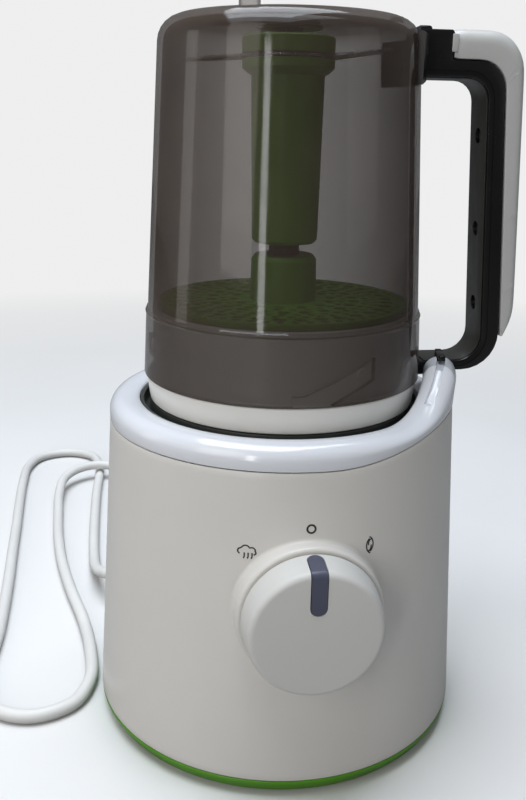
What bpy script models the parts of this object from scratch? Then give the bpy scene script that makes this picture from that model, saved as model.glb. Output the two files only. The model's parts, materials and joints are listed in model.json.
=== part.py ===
"""Baby food maker: a round base with a boiler and a motor, a smoky jug with a side handle standing upside
down in it, the blades, strainer and lid inside the jug, and the mains lead.

Frame: +Z is the drive axis of the motor and the blades, z = 0 is the table, the control knob faces -Y and
the jug's handle points to +X. Lengths in the profiles below are millimetres; the scene is in metres.
"""

import math

import bmesh
import bpy
from mathutils import Matrix, Vector

MM = 0.001
GAP = 0.3  # clearance between neighbours

# Base casing
BASE_LOW_R = 84.6
BASE_TOP_R = 76.4
BASE_LOW_Z = 8.7
SEAM_Z = 140.8
BASE_WALL = 2.8
RIM_CREST_Z = 151.5
RIM_CREST_R = 69.8
RIM_INNER_R = 63.1

# The raised ear of the rim, which the jug's nib locks into
EAR_START = math.radians(-60)
EAR_FULL = math.radians(-26)
EAR_END = math.radians(-11.5)
EAR_RISE = 18.0
GROOVE_R = 70.0
GROOVE_WIDTH = 3.7

# Control knob
KNOB_Z = 84.5
KNOB_R = 26.5
KNOB_FACE_Y = -98.0
BOSS_R = 29.2
BOSS_FACE_Y = -84.0

# Well and boiler
LEDGE_Z = 149.5
WELL_FLOOR_Z = 132.0
BOILER_X = -21.2
BOILER_Y = 21.2

# Jug, lid and blades
JUG_TOP_Z = 305.5
JUG_TOP_R = 52.3
JUG_CORNER = 10.0
JUG_LOW_R = 58.7
BAND_TOP_Z = 188.7
BAND_LOW_Z = 160.9
BAND_LOW_R = 60.8
TRACK_RISE = 24.8  # helix of the bayonet, mm per radian
TRACK_TURN = math.radians(25)
PEG_Z = 171.5
HUB_R = 18.8
BLADE_Z = 291.2

# Handle
HANDLE_HALF = 10.0

# Mains lead
CORD_R = 3.3
CORD_EXIT_Z = 17.0
CORD_EXIT_TURN = math.radians(135)
RELIEF_END = 108.7
PLUG_START = (14.0, 168.5, 7.6)

parts = bpy.data.collections.new("baby_food_maker")
cutters = bpy.data.collections.new("cutters")


def clear_scene():
    for obj in list(bpy.data.objects):
        bpy.data.objects.remove(obj, do_unlink=True)
    bpy.context.scene.collection.children.link(parts)
    bpy.context.scene.collection.children.link(cutters)


def material(name, color, roughness=0.4, metallic=0.0, alpha=1.0):
    made = bpy.data.materials.new(name)
    made.use_nodes = True
    shader = made.node_tree.nodes["Principled BSDF"]
    shader.inputs["Base Color"].default_value = (*color, 1.0)
    shader.inputs["Roughness"].default_value = roughness
    shader.inputs["Metallic"].default_value = metallic
    shader.inputs["Alpha"].default_value = alpha
    return made


def place(name, mesh, look, where=(0, 0, 0), turn=None, helper=False):
    """Makes an object of a mesh in metres; a helper is a cutter, which isn't part of the model."""
    obj = bpy.data.objects.new(name, mesh)
    (cutters if helper else parts).objects.link(obj)
    obj.location = Vector(where) * MM
    if turn is not None:
        obj.rotation_euler = turn
    obj.hide_render = helper
    if helper:
        obj.display_type = "WIRE"
    elif look is not None:
        mesh.materials.append(look)
    mesh.shade_smooth()
    mesh.set_sharp_from_angle(angle=math.radians(35))
    return obj


def turned(name, profile, look=None, steps=40, where=(0, 0, 0), turn=None, helper=False):
    """A profile of (radius, height) points, down its outer side, turned about the object's own Z.

    It is closed into a ring unless both of its ends are on the axis.
    """
    on_axis = profile[0][0] == 0 and profile[-1][0] == 0
    mesh = bpy.data.meshes.new(name)
    edges = [(i, i + 1) for i in range(len(profile) - 1)]
    if not on_axis:
        edges.append((len(profile) - 1, 0))
    mesh.from_pydata([(r * MM, 0, z * MM) for r, z in profile], edges, [])
    obj = place(name, mesh, look, where, turn, helper)
    screw = obj.modifiers.new("turn", "SCREW")
    screw.steps = screw.render_steps = steps
    screw.use_merge_vertices = True
    screw.merge_threshold = 0.00001
    screw.use_smooth_shade = True
    return obj


def cylinder(name, radius, low, high, look=None, steps=24, where=(0, 0, 0), turn=None, helper=False):
    profile = [(0, high), (radius, high), (radius, low), (0, low)]
    return turned(name, profile, look, steps, where, turn, helper)


def ring(name, inner, outer, low, high, look=None, steps=20, where=(0, 0, 0)):
    return turned(name, [(outer, high), (outer, low), (inner, low), (inner, high)], look, steps, where)


def box(name, low, high, look=None, bevel=0.0, helper=False):
    mesh = bpy.data.meshes.new(name)
    shape = bmesh.new()
    bmesh.ops.create_cube(shape, size=1)
    size = Vector(high) - Vector(low)
    middle = (Vector(high) + Vector(low)) / 2
    bmesh.ops.scale(shape, vec=size * MM, verts=shape.verts)
    bmesh.ops.translate(shape, vec=middle * MM, verts=shape.verts)
    shape.to_mesh(mesh)
    shape.free()
    obj = place(name, mesh, look, helper=helper)
    if bevel:
        edge = obj.modifiers.new("edges", "BEVEL")
        edge.width = bevel * MM
        edge.segments = 2
    return obj


def loft(name, sections, look=None, closed=True, helper=False):
    """Joins sections of equal point count, given as (x, y, z) in millimetres, into one skin."""
    mesh = bpy.data.meshes.new(name)
    shape = bmesh.new()
    rings = [[shape.verts.new(Vector(p) * MM) for p in section] for section in sections]
    pairs = list(zip(rings, rings[1:] + rings[:1])) if closed else list(zip(rings, rings[1:]))
    for here, there in pairs:
        for i in range(len(here)):
            j = (i + 1) % len(here)
            shape.faces.new((here[i], here[j], there[j], there[i]))
    if not closed:
        shape.faces.new(rings[0])
        shape.faces.new(list(reversed(rings[-1])))
    bmesh.ops.recalc_face_normals(shape, faces=shape.faces)
    if shape.calc_volume(signed=True) < 0:
        bmesh.ops.reverse_faces(shape, faces=shape.faces)
    shape.to_mesh(mesh)
    shape.free()
    return place(name, mesh, look, helper=helper)


def at_angle(radius, height, angle):
    return (radius * math.cos(angle), radius * math.sin(angle), height)


def arc_block(name, radii, heights, angles, rise=0.0, steps=8, helper=False):
    """A block between two radii that follows an arc, rising by `rise` millimetres per radian."""
    sections = []
    for i in range(steps + 1):
        angle = angles[0] + (angles[1] - angles[0]) * i / steps
        lift = rise * (angle - angles[0])
        low, high = heights[0] + lift, heights[1] + lift
        corners = ((radii[0], low), (radii[1], low), (radii[1], high), (radii[0], high))
        sections.append([at_angle(r, z, angle) for r, z in corners])
    return loft(name, sections, closed=False, helper=helper)


def rounded(corners):
    """Outline points from corners (x, y, radius), each corner cut by an arc of its radius."""
    points = []
    for i, (x, y, radius) in enumerate(corners):
        here = Vector((x, y))
        before = Vector(corners[i - 1][:2]) - here
        after = Vector(corners[(i + 1) % len(corners)][:2]) - here
        if radius == 0:
            points.append((x, y))
            continue
        half = before.angle(after) / 2
        reach = radius / math.tan(half)
        start = here + before.normalized() * reach
        middle = here + (before.normalized() + after.normalized()).normalized() * radius / math.sin(half)
        sweep = math.pi - 2 * half
        side = 1 if before.cross(after) < 0 else -1
        steps = max(2, round(sweep / math.radians(18)))
        spoke = start - middle
        for k in range(steps + 1):
            points.append(tuple(middle + Matrix.Rotation(side * sweep * k / steps, 2) @ spoke))
    return points


def flat_solid(name, loops, thickness, look=None, matrix=None, helper=False):
    """Outlines in millimetres, the first one outside and the rest holes, made a plate of a thickness."""
    curve = bpy.data.curves.new(name, "CURVE")
    curve.dimensions = "2D"
    curve.fill_mode = "BOTH"
    curve.extrude = thickness / 2 * MM
    for loop in loops:
        spline = curve.splines.new("POLY")
        spline.points.add(len(loop) - 1)
        for point, (x, y) in zip(spline.points, loop):
            point.co = (x * MM, y * MM, 0, 1)
        spline.use_cyclic_u = True
    guide = bpy.data.objects.new(name + "_outline", curve)
    bpy.context.scene.collection.objects.link(guide)
    evaluated = guide.evaluated_get(bpy.context.evaluated_depsgraph_get())
    mesh = bpy.data.meshes.new_from_object(evaluated)
    bpy.data.objects.remove(guide, do_unlink=True)
    shape = bmesh.new()
    shape.from_mesh(mesh)
    bmesh.ops.remove_doubles(shape, verts=shape.verts, dist=0.000001)
    if matrix is not None:
        bmesh.ops.transform(shape, matrix=matrix, verts=shape.verts)
    bmesh.ops.recalc_face_normals(shape, faces=shape.faces)
    shape.to_mesh(mesh)
    shape.free()
    return place(name, mesh, look, helper=helper)


def at_height(z):
    return Matrix.Translation((0, 0, z * MM))


def facing_front(y):
    """Turns a plate so that its outline's y runs up +Z, and its thickness along Y about y."""
    return Matrix.Translation((0, y * MM, 0)) @ Matrix.Rotation(math.pi / 2, 4, "X")


def tube(name, points, radius, look=None, sides=3):
    curve = bpy.data.curves.new(name, "CURVE")
    curve.dimensions = "3D"
    curve.bevel_depth = radius * MM
    curve.bevel_resolution = sides
    curve.use_fill_caps = True
    spline = curve.splines.new("POLY")
    spline.points.add(len(points) - 1)
    for point, place_of in zip(spline.points, points):
        point.co = (*(c * MM for c in place_of), 1)
    obj = bpy.data.objects.new(name, curve)
    parts.objects.link(obj)
    curve.materials.append(look)
    return obj


def smooth_route(points, spacing):
    """Points about `spacing` apart on a centripetal Catmull-Rom curve through the given ones."""
    knots = [Vector(p) for p in points]
    knots = [2 * knots[0] - knots[1]] + knots + [2 * knots[-1] - knots[-2]]
    dense = []
    for p0, p1, p2, p3 in zip(knots, knots[1:], knots[2:], knots[3:]):
        t1 = (p1 - p0).length ** 0.5
        t2 = t1 + (p2 - p1).length ** 0.5
        t3 = t2 + (p3 - p2).length ** 0.5
        for k in range(16):
            t = t1 + (t2 - t1) * k / 16
            a1 = p0 * (t1 - t) / t1 + p1 * t / t1
            a2 = p1 * (t2 - t) / (t2 - t1) + p2 * (t - t1) / (t2 - t1)
            a3 = p2 * (t3 - t) / (t3 - t2) + p3 * (t - t2) / (t3 - t2)
            b1 = a1 * (t2 - t) / t2 + a2 * t / t2
            b2 = a2 * (t3 - t) / (t3 - t1) + a3 * (t - t1) / (t3 - t1)
            dense.append(b1 * (t2 - t) / (t2 - t1) + b2 * (t - t1) / (t2 - t1))
    dense.append(knots[-2])
    kept = [dense[0]]
    for point in dense[1:-1]:
        if (point - kept[-1]).length >= spacing:
            kept.append(point)
    if (dense[-1] - kept[-1]).length < spacing / 2:
        kept.pop()
    return kept + [dense[-1]]


def combine(obj, other, operation, solver="EXACT"):
    change = obj.modifiers.new(other.name, "BOOLEAN")
    change.operation = operation
    change.object = other
    change.solver = solver
    other.hide_render = True
    other.display_type = "WIRE"


# ---------------------------------------------------------------- base casing


def ear_share(angle):
    """0 on the plain rim, 1 on the ear, rising in a long curve and ending at a face beside the handle."""
    if angle < EAR_START or angle > EAR_END:
        return 0.0
    return min(1.0, (angle - EAR_START) / (EAR_FULL - EAR_START)) ** 2.2


def seam_lift(angle):
    """How far the seam under the rim climbs towards the ear."""
    reach = math.radians(58) if angle < EAR_FULL else math.radians(30)
    share = max(0.0, 1 - abs(angle - EAR_FULL) / reach)
    return 9.5 * share * share * (3 - 2 * share)


def rim_angles():
    """Coarse steps round the back and fine ones along the ear, with both faces of the ear's end."""
    coarse = [math.radians(a) for a in range(-8, 300, 8)]
    fine = [math.radians(a) for a in (-60, -54, -49, -44, -39, -34, -30, -26, -20, -15)]
    return fine + [EAR_END - 0.012, EAR_END + 0.004] + coarse


def base_section(angle):
    top = SEAM_Z + seam_lift(angle)
    middle = (BASE_LOW_R + BASE_TOP_R) / 2
    profile = (
        (BASE_LOW_R, BASE_LOW_Z),
        (middle, (BASE_LOW_Z + top) / 2),
        (BASE_TOP_R, top),
        (BASE_TOP_R - BASE_WALL, top),
        (BASE_LOW_R - BASE_WALL, BASE_LOW_Z),
    )
    return [at_angle(r, z, angle) for r, z in profile]


def rim_section(angle):
    share = ear_share(angle)
    crest = RIM_CREST_Z + EAR_RISE * share
    seam = SEAM_Z + GAP + seam_lift(angle)
    outer_drop = min(7.0, 0.65 * (crest - seam))
    inner_drop = 2.0 + 4.5 * share
    outer_r = BASE_TOP_R + 0.6 * share
    profile = [(BASE_TOP_R, seam)]
    for k in range(4):
        turn = math.pi / 2 * k / 3
        reach = (outer_r - RIM_CREST_R) * math.cos(turn)
        profile.append((RIM_CREST_R + reach, crest - outer_drop * (1 - math.sin(turn))))
    for k in (2, 4):
        turn = math.pi / 2 * k / 4
        reach = (RIM_CREST_R - RIM_INNER_R) * math.sin(turn)
        profile.append((RIM_CREST_R - reach, crest - inner_drop * (1 - math.cos(turn))))
    profile += [
        (RIM_INNER_R, 143.0),
        (RIM_INNER_R + 2.4, 143.0),
        (RIM_INNER_R + 2.6, crest - inner_drop - 1.5),
        (RIM_CREST_R, crest - 3.0),
        (BASE_TOP_R - 3.0, crest - outer_drop - 0.4),
        (BASE_TOP_R - BASE_WALL, seam),
    ]
    return [at_angle(r, z, angle) for r, z in profile]


def make_casing(white, green, rubber, steel):
    shell = loft("base_shell", [base_section(a) for a in rim_angles()], white)
    front = (math.pi / 2, 0, 0)
    boss = cylinder("knob_boss", BOSS_R, 70, -BOSS_FACE_Y, steps=36, where=(0, 0, KNOB_Z), turn=front, helper=True)
    combine(shell, boss, "UNION")
    shaft_hole = cylinder("shaft_hole", 4.0, 60, 100, steps=16, where=(0, 0, KNOB_Z), turn=front, helper=True)
    combine(shell, shaft_hole, "DIFFERENCE")
    outward = (math.pi / 2, 0, CORD_EXIT_TURN + math.pi / 2)
    cord_hole = cylinder("cord_hole", 6.3, 70, 95, steps=16, where=(0, 0, CORD_EXIT_Z), turn=outward, helper=True)
    combine(shell, cord_hole, "DIFFERENCE")

    rim = loft("top_rim", [rim_section(a) for a in rim_angles()], white)
    groove = arc_block(
        "ear_groove",
        (GROOVE_R - GROOVE_WIDTH / 2, GROOVE_R + GROOVE_WIDTH / 2),
        (RIM_CREST_Z + EAR_RISE - 2.0, RIM_CREST_Z + EAR_RISE + 6),
        (math.radians(-38), math.radians(-9)),
        helper=True,
    )
    combine(rim, groove, "DIFFERENCE")

    floor_low, floor_high, ring_top = 1.6, 4.0, BASE_LOW_Z - GAP
    profile = [
        (0, floor_high),
        (78.2, floor_high),
        (81.4, ring_top),
        (BASE_LOW_R, ring_top),
        (81.8, floor_low + 0.8),
        (81.0, floor_low),
        (30, floor_low),
        (30, 1.0),
        (0, 1.0),
    ]
    cover = turned("bottom_cover", profile, green, steps=48)
    for k in range(4):
        x, y, _ = at_angle(66, 0, math.radians(45 + 90 * k))
        recess = cylinder(f"foot_recess_{k}", 7.5, 0, 2.9, steps=16, where=(x, y, 0), helper=True)
        combine(cover, recess, "DIFFERENCE", "MANIFOLD")
        cylinder(f"foot_{k + 1}", 7.1, 0, 2.6, rubber, steps=16, where=(x, y, 0))
        x, y, _ = at_angle(66, 0, math.radians(90 * k))
        hole = cylinder(f"screw_hole_{k}", 3.7, 0, 8, steps=12, where=(x, y, 0), helper=True)
        combine(cover, hole, "DIFFERENCE", "MANIFOLD")
        screw = [(0, 12), (1.8, 12), (1.8, 3.6), (3.3, 3.6), (3.3, 1.9), (0, 1.9)]
        turned(f"cover_screw_{k + 1}", screw, steel, steps=12, where=(x, y, 0))


def make_well(dark, rubber, white):
    lip = RIM_INNER_R - GAP
    profile = [
        (lip, 148.8),
        (lip, 141.6),
        (56.0, 141.6),
        (56.0, 147.2),
        (48.6, 147.2),
        (48.6, WELL_FLOOR_Z - 2.5),
        (9.2, WELL_FLOOR_Z - 2.5),
        (9.2, WELL_FLOOR_Z),
        (46.0, WELL_FLOOR_Z),
        (46.0, LEDGE_Z),
        (58.0, LEDGE_Z),
        (58.6, 144.0),
        (lip - 1.6, 144.0),
        (lip - 1.6, 148.8),
    ]
    well = turned("well_insert", profile, dark)
    nozzle_x = -BOILER_X
    for name, x, radius in (("cap_hole", BOILER_X, 10.2), ("nozzle_hole", nozzle_x, 4.6)):
        hole = cylinder(name, radius, 125, 136, steps=20, where=(x, BOILER_Y, 0), helper=True)
        combine(well, hole, "DIFFERENCE")
    cap_place = (BOILER_X, BOILER_Y, 0)
    floor = WELL_FLOOR_Z
    cap_profile = [
        (0, floor + 4.6),
        (11.6, floor + 4.6),
        (12.8, floor + 3.8),
        (12.8, floor + 1.7),
        (9.8, floor + 1.7),
        (9.8, floor - 4),
        (0, floor - 4),
    ]
    cap = turned("tank_cap", cap_profile, white, steps=24, where=cap_place)
    grip = box("cap_grip", (-10.5, -2.2, 134), (10.5, 2.2, 143), helper=True)
    grip.location = Vector(cap_place) * MM
    combine(cap, grip, "UNION")
    ring("tank_cap_seal", 10.4, 12.6, floor + GAP, floor + 1.4, rubber, 16, cap_place)
    nozzle_profile = [
        (3.0, 140),
        (4.1, 138.5),
        (4.1, floor + 2.0),
        (7.0, floor + 1.6),
        (7.0, floor + GAP),
        (4.2, floor + GAP),
        (4.2, 120.5),
        (2.2, 120.5),
        (2.2, 140),
    ]
    turned("steam_nozzle", nozzle_profile, dark, steps=14, where=(nozzle_x, BOILER_Y, 0))
    ring("shaft_seal", 3.4, 8.8, 128.6, 131.6, rubber, 16)


def make_boiler(steel, rubber, dark):
    spot = (BOILER_X, BOILER_Y, 0)
    cup = [(0, 94.5), (14.6, 94.5), (14.6, 124), (17, 124), (17, 92), (0, 92)]
    turned("boiler_cup", cup, steel, steps=28, where=spot)
    ring("heating_element", 8, 14.5, 86.5, 91.7, dark, 16, spot)
    ring("boiler_seal", 12, 16.4, 124.3, 129.2, rubber, 16, spot)
    cylinder("thermal_fuse", 3.0, 96, 108, dark, 12, at_angle(51.0, 0, CORD_EXIT_TURN))
    pipe = [(-3.2, 31.2, 118), (3, 32.6, 117.8), (11, 32.6, 116.2), (18, 28, 113), (21.2, 22, 113.5), (21.2, 21.2, 117), (21.2, 21.2, 120)]
    tube("steam_pipe", smooth_route(pipe, 3.0), 2.4, rubber)


# ---------------------------------------------------------------- motor and controls


def star(count, inner, outer, width=0.5):
    """Outline points of a gear-like star; width is the share of a pitch that a tooth takes."""
    points = []
    for k in range(count):
        for radius, offset in ((inner, -0.5), (outer, -0.5 * width), (outer, 0.5 * width), (inner, 0.5)):
            angle = 2 * math.pi * (k + offset * 0.8) / count
            points.append((radius * math.cos(angle), radius * math.sin(angle)))
    return points


def circle(radius, count):
    return [at_angle(radius, 0, 2 * math.pi * k / count)[:2] for k in range(count)]


def make_motor(steel, copper, dark):
    can = [(31, 80), (31, 24), (28.8, 24), (28.8, 77.6), (9.4, 77.6), (9.4, 80)]
    turned("motor_can", can, steel, steps=24)
    ring("motor_endplate", 9.4, 28.5, 20.5, 23.7, steel)
    ring("motor_stator", 16.2, 28.4, 32, 68, copper)
    ring("lower_bearing", 3.4, 9.1, 19.5, 25.5, steel, 16)
    ring("upper_bearing", 3.4, 9.1, 76.5, 83.5, steel, 16)
    rotor = [(0, 143), (3, 143), (3, 70), (15.4, 70), (15.4, 31), (3, 31), (3, 8), (0, 8)]
    turned("motor_rotor", rotor, steel, steps=16)
    fan = [star(7, 9, 27, 0.35), circle(3.3, 12)]
    flat_solid("cooling_fan", fan, 5.0, dark, at_height(13.0))
    coupling = [star(6, 6.2, 9.2, 0.55), circle(3.3, 12)]
    flat_solid("drive_coupling", coupling, 12.5, dark, at_height(139.0))


def make_controls(white, slate, dark, steel, board_green):
    front = (math.pi / 2, 0, 0)
    centre = (0, 0, KNOB_Z)
    face = -KNOB_FACE_Y
    knob_profile = [
        (0, face),
        (KNOB_R - 3.0, face),
        (KNOB_R - 1.2, face - 0.8),
        (KNOB_R - 0.3, face - 2.6),
        (KNOB_R + 1.0, face - 13.0),
        (0, face - 13.0),
    ]
    knob = turned("control_knob", knob_profile, white, 40, centre, front)
    inlay_width, inlay_low, inlay_depth = 6.0, 9.0, 2.4

    def inlay(name, grow, depth):
        half = inlay_width / 2 + grow
        low = inlay_low - grow
        top = KNOB_R + 6
        corners = [(-half, low, half * 0.95), (half, low, half * 0.95), (half, top, 0), (-half, top, 0)]
        outline = [(x, y + KNOB_Z) for x, y in rounded(corners)]
        shape = flat_solid(name, [outline], depth + 6, None, facing_front(KNOB_FACE_Y + (depth - 6) / 2), helper=True)
        strip_low = KNOB_Z + KNOB_R - 1.6 - grow
        strip_back = KNOB_FACE_Y + 11.9 + grow
        strip = box(name + "_strip", (-half, KNOB_FACE_Y - 6, strip_low), (half, strip_back, KNOB_Z + top), helper=True)
        combine(shape, strip, "UNION")
        return shape

    combine(knob, inlay("pointer_slot", GAP, inlay_depth + GAP), "DIFFERENCE")
    bore = cylinder("knob_bore", 3.4, 80, 94, steps=16, where=centre, turn=front, helper=True)
    combine(knob, bore, "DIFFERENCE")
    pointer = turned("knob_pointer", knob_profile, slate, 40, centre, front)
    combine(pointer, inlay("pointer_shape", 0, inlay_depth), "INTERSECT")
    cylinder("switch_shaft", 3.0, 52, 93.6, steel, 16, centre, front)
    switch = box("rotary_switch", (-13, -66, KNOB_Z - 13), (13, -50, KNOB_Z + 13), dark, bevel=1.0)
    socket = cylinder("switch_socket", 3.4, 51.5, 70, steps=16, where=centre, turn=front, helper=True)
    combine(switch, socket, "DIFFERENCE")
    box("circuit_board", (-26, 44, 13.2), (26, 66, 14.8), board_green)
    cylinder("capacitor", 6.0, 15.1, 30, dark, 20, (12, 55, 0))


# ---------------------------------------------------------------- jug and what it holds


def make_jug(smoke, dark):
    outer = [(BAND_LOW_R, BAND_LOW_Z), (JUG_LOW_R + 0.7, BAND_TOP_Z), (JUG_LOW_R, BAND_TOP_Z + 0.4)]
    corner = JUG_CORNER
    outer.append((JUG_TOP_R, JUG_TOP_Z - corner))
    for k in range(1, 4):
        turn = math.pi / 2 * k / 4
        outer.append((JUG_TOP_R - corner * (1 - math.cos(turn)), JUG_TOP_Z - corner * (1 - math.sin(turn))))
    outer.append((JUG_TOP_R - corner, JUG_TOP_Z))
    inner = [
        (12.4, JUG_TOP_Z),
        (12.4, JUG_TOP_Z - 2.5),
        (JUG_TOP_R - corner, JUG_TOP_Z - 2.5),
        (JUG_TOP_R - 4.4, JUG_TOP_Z - 5.4),
        (JUG_TOP_R - 2.2, JUG_TOP_Z - corner),
        (JUG_LOW_R - 2.2, 190.5),
        (56.6, 189.5),
        (56.6, BAND_LOW_Z),
    ]
    jug = turned("jug", (inner + outer)[::-1], smoke)
    for k in range(3):
        middle = math.radians(-118 + 120 * k)
        heights = (JUG_TOP_Z - 2.0, JUG_TOP_Z + 2.1)
        lug = arc_block(f"lug_{k}", (42.5, 46.5), heights, (middle - 0.08, middle + 0.08), steps=2, helper=True)
        combine(jug, lug, "UNION")
        # The bayonet track: from its mouth at the edge of the band up a helix to its dead end.
        mouth = math.radians(-90 + 120 * k)
        low = BAND_LOW_Z - 2
        entry = arc_block(f"mouth_{k}", (55.5, 57.9), (low, BAND_LOW_Z + 3.6), (mouth - 0.09, mouth + 0.09), steps=3, helper=True)
        combine(jug, entry, "DIFFERENCE")
        start, end = mouth - 0.03, mouth + TRACK_TURN + 0.085
        foot = PEG_Z - TRACK_RISE * (mouth + TRACK_TURN - start)
        track = arc_block(f"track_{k}", (55.5, 57.9), (foot - 4.2, foot + 4.2), (start, end), TRACK_RISE, 6, helper=True)
        combine(jug, track, "DIFFERENCE")
    bush = [(12.0, 305.0), (12.0, 302.7), (13.6, 302.7), (13.6, 301.7), (5.9, 301.7), (5.9, 305.0)]
    turned("jug_bushing", bush, dark, steps=20)


def make_lid(cream, rubber, green):
    profile = [
        (59.8, BAND_LOW_Z - GAP),
        (58.4, LEDGE_Z + GAP),
        (55.6, LEDGE_Z + GAP),
        (55.6, 152.2),
        (10, 152.2),
        (10, 151.0),
        (6, 151.0),
        (6, 168),
        (8.2, 168),
        (8.4, 154.6),
        (54.0, 154.6),
        (54.0, 187),
        (56.3, 187),
        (56.3, BAND_LOW_Z - GAP),
    ]
    lid = turned("lid", profile, cream)
    for k in range(3):
        angle = math.radians(-90 + 25 + 120 * k)
        peg = cylinder(f"peg_{k}", 2.75, 55, 57.5, steps=12, turn=(math.pi / 2, 0, angle + math.pi / 2), helper=True)
        peg.location = (0, 0, PEG_Z * MM)
        combine(lid, peg, "UNION")
    ring("lid_seal", 54.5, 56.2, 187.6, 190.0, rubber, 40)
    ring("steam_seal", 47.5, 55.0, LEDGE_Z + GAP, 151.9, rubber, 40)

    plate_low, plate_high = 190.4, 192.6
    loops = [circle(54.0, 40), circle(12.6, 20)]
    for radius, count, size in ((45.5, 20, 3.4), (34.0, 14, 3.0), (22.5, 8, 2.6)):
        for k in range(count):
            angle = 2 * math.pi * k / count
            loops.append([(radius * math.cos(angle) + x, radius * math.sin(angle) + y) for x, y in circle(size, 6)])
    strainer = flat_solid("strainer", loops, plate_high - plate_low, green, at_height((plate_low + plate_high) / 2))
    snap_r = 12.3
    post = [
        (6.2, 212),
        (12.5, 212),
        (14, 210),
        (14.4, plate_high + GAP),
        (snap_r, plate_high + GAP),
        (snap_r, 186),
        (10.8, 186),
        (10.8, 209.5),
        (6.2, 209.5),
    ]
    turned("strainer_post", post, green, steps=20)
    skirt = [(52.6, 192), (52.6, 180), (50.8, 180), (50.8, 192)]
    combine(strainer, turned("strainer_skirt", skirt, steps=40, helper=True), "UNION", "MANIFOLD")


def make_blades(green, steel, dark):
    slot_low, slot_high = BLADE_Z - 1.0, BLADE_Z + 1.0
    hub = [
        (HUB_R - 3, 297.6),
        (HUB_R - 1.4, 299.0),
        (HUB_R, 298.2),
        (HUB_R, slot_high),
        (10, slot_high),
        (10, slot_low),
        (HUB_R, slot_low),
        (HUB_R, 286.6),
        (HUB_R - 2, 285),
        (15, 284),
        (14, 218.4),
        (12.6, 217),
        (4, 217),
        (4, 293.5),
    ]
    turned("blade_hub", hub, green, steps=24)
    blade, eye_r = [], 14.5
    for turn in (0, math.pi):
        for x, y in ((13.4, -5.5), (41.2, -4.5), (42.0, -1.5), (38.5, 4.6), (13.4, 5.5)):
            blade.append((x * math.cos(turn) - y * math.sin(turn), x * math.sin(turn) + y * math.cos(turn)))
        blade += [at_angle(eye_r, 0, turn + math.radians(a))[:2] for a in (45, 67.5, 90, 112.5, 135)]
    spin = Matrix.Rotation(math.radians(-9), 4, "Z")
    flat_solid("blades", [blade, circle(10.3, 16)], 1.3, steel, at_height(BLADE_Z) @ spin)
    spindle = [(0, 297), (3.6, 297), (3.6, 216.6), (6.6, 216.6), (6.6, 212.4), (5.6, 212.3), (5.6, 204), (0, 204)]
    turned("blade_spindle", spindle, dark, steps=16)
    flat_solid("drive_dog", [star(4, 3.2, 5.4, 0.6)], 6.6, dark, at_height(301.2))


def make_handle(dark, white, steel):
    grip_top, grip_low = (81.7, 284.5), (89.2, 165.4)
    frame_outline = [
        (50, 302.6, 0),
        (66.0, 302.6, 0),
        (66.0, 291.3, 0),
        (88.7, 291.3, 17),
        (98.0, 160.9, 16),
        (50, 160.9, 0),
        (50, grip_low[1], 0),
        (*grip_low, 11),
        (*grip_top, 9),
        (50, grip_top[1], 0),
    ]
    plate = facing_front(0)
    frame = flat_solid("handle_frame", [rounded(frame_outline)], 2 * HANDLE_HALF, dark, plate)
    combine(frame, box("handle_lip", (50, -8, 158.6), (78, 8, 162), helper=True), "UNION")
    nib_radii, nib_high = (68.7, 71.4), 170.6
    nib = arc_block("nib", nib_radii, (168.2, nib_high), (math.radians(-18), math.radians(-5)), steps=4, helper=True)
    combine(nib, arc_block("nib_foot", nib_radii, (163, nib_high), (math.radians(-8), math.radians(-5)), steps=2, helper=True), "UNION")
    combine(frame, nib, "UNION")
    reach = math.radians(30)
    saddle = arc_block("saddle", (45, JUG_TOP_R + 3.2), (281.5, 300), (-reach, reach), steps=10, helper=True)
    combine(frame, saddle, "UNION")
    clear = GAP
    wall = [
        (0, 310),
        (JUG_TOP_R + clear, 310),
        (JUG_TOP_R + clear, JUG_TOP_Z - JUG_CORNER),
        (JUG_LOW_R + clear, BAND_TOP_Z + 0.4),
        (JUG_LOW_R + 0.7 + clear, BAND_TOP_Z),
        (BAND_LOW_R + clear + 0.3, 155),
        (0, 155),
    ]
    combine(frame, turned("jug_space", wall, helper=True), "DIFFERENCE")
    cover_outline = [
        (66.5, 303.3, 0),
        (97.4, 303.3, 27),
        (102.6, 204.0, 0),
        (102.8, 186.5, 0),
        (97.6, 176.4, 0),
        (89.0, 291.6, 17.3),
        (66.5, 291.6, 0),
    ]
    cover = flat_solid("handle_cover", [rounded(cover_outline)], 2 * HANDLE_HALF, white, plate)
    for k, z in enumerate((262.0, 223.0, 190.0)):
        x = grip_top[0] + (grip_top[1] - z) * (grip_low[0] - grip_top[0]) / (grip_top[1] - grip_low[1])
        pocket = cylinder(f"handle_pocket_{k}", 3.2, -4, 4.2, steps=12, where=(x, 0, z), turn=(0, math.pi / 2, 0), helper=True)
        combine(frame, pocket, "DIFFERENCE")
        cylinder(f"handle_screw_{k + 1}", 2.9, 1.2, 3.9, steel, 12, (x, 0, z), (0, math.pi / 2, 0))
    return cover


# ---------------------------------------------------------------- mains lead


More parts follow.
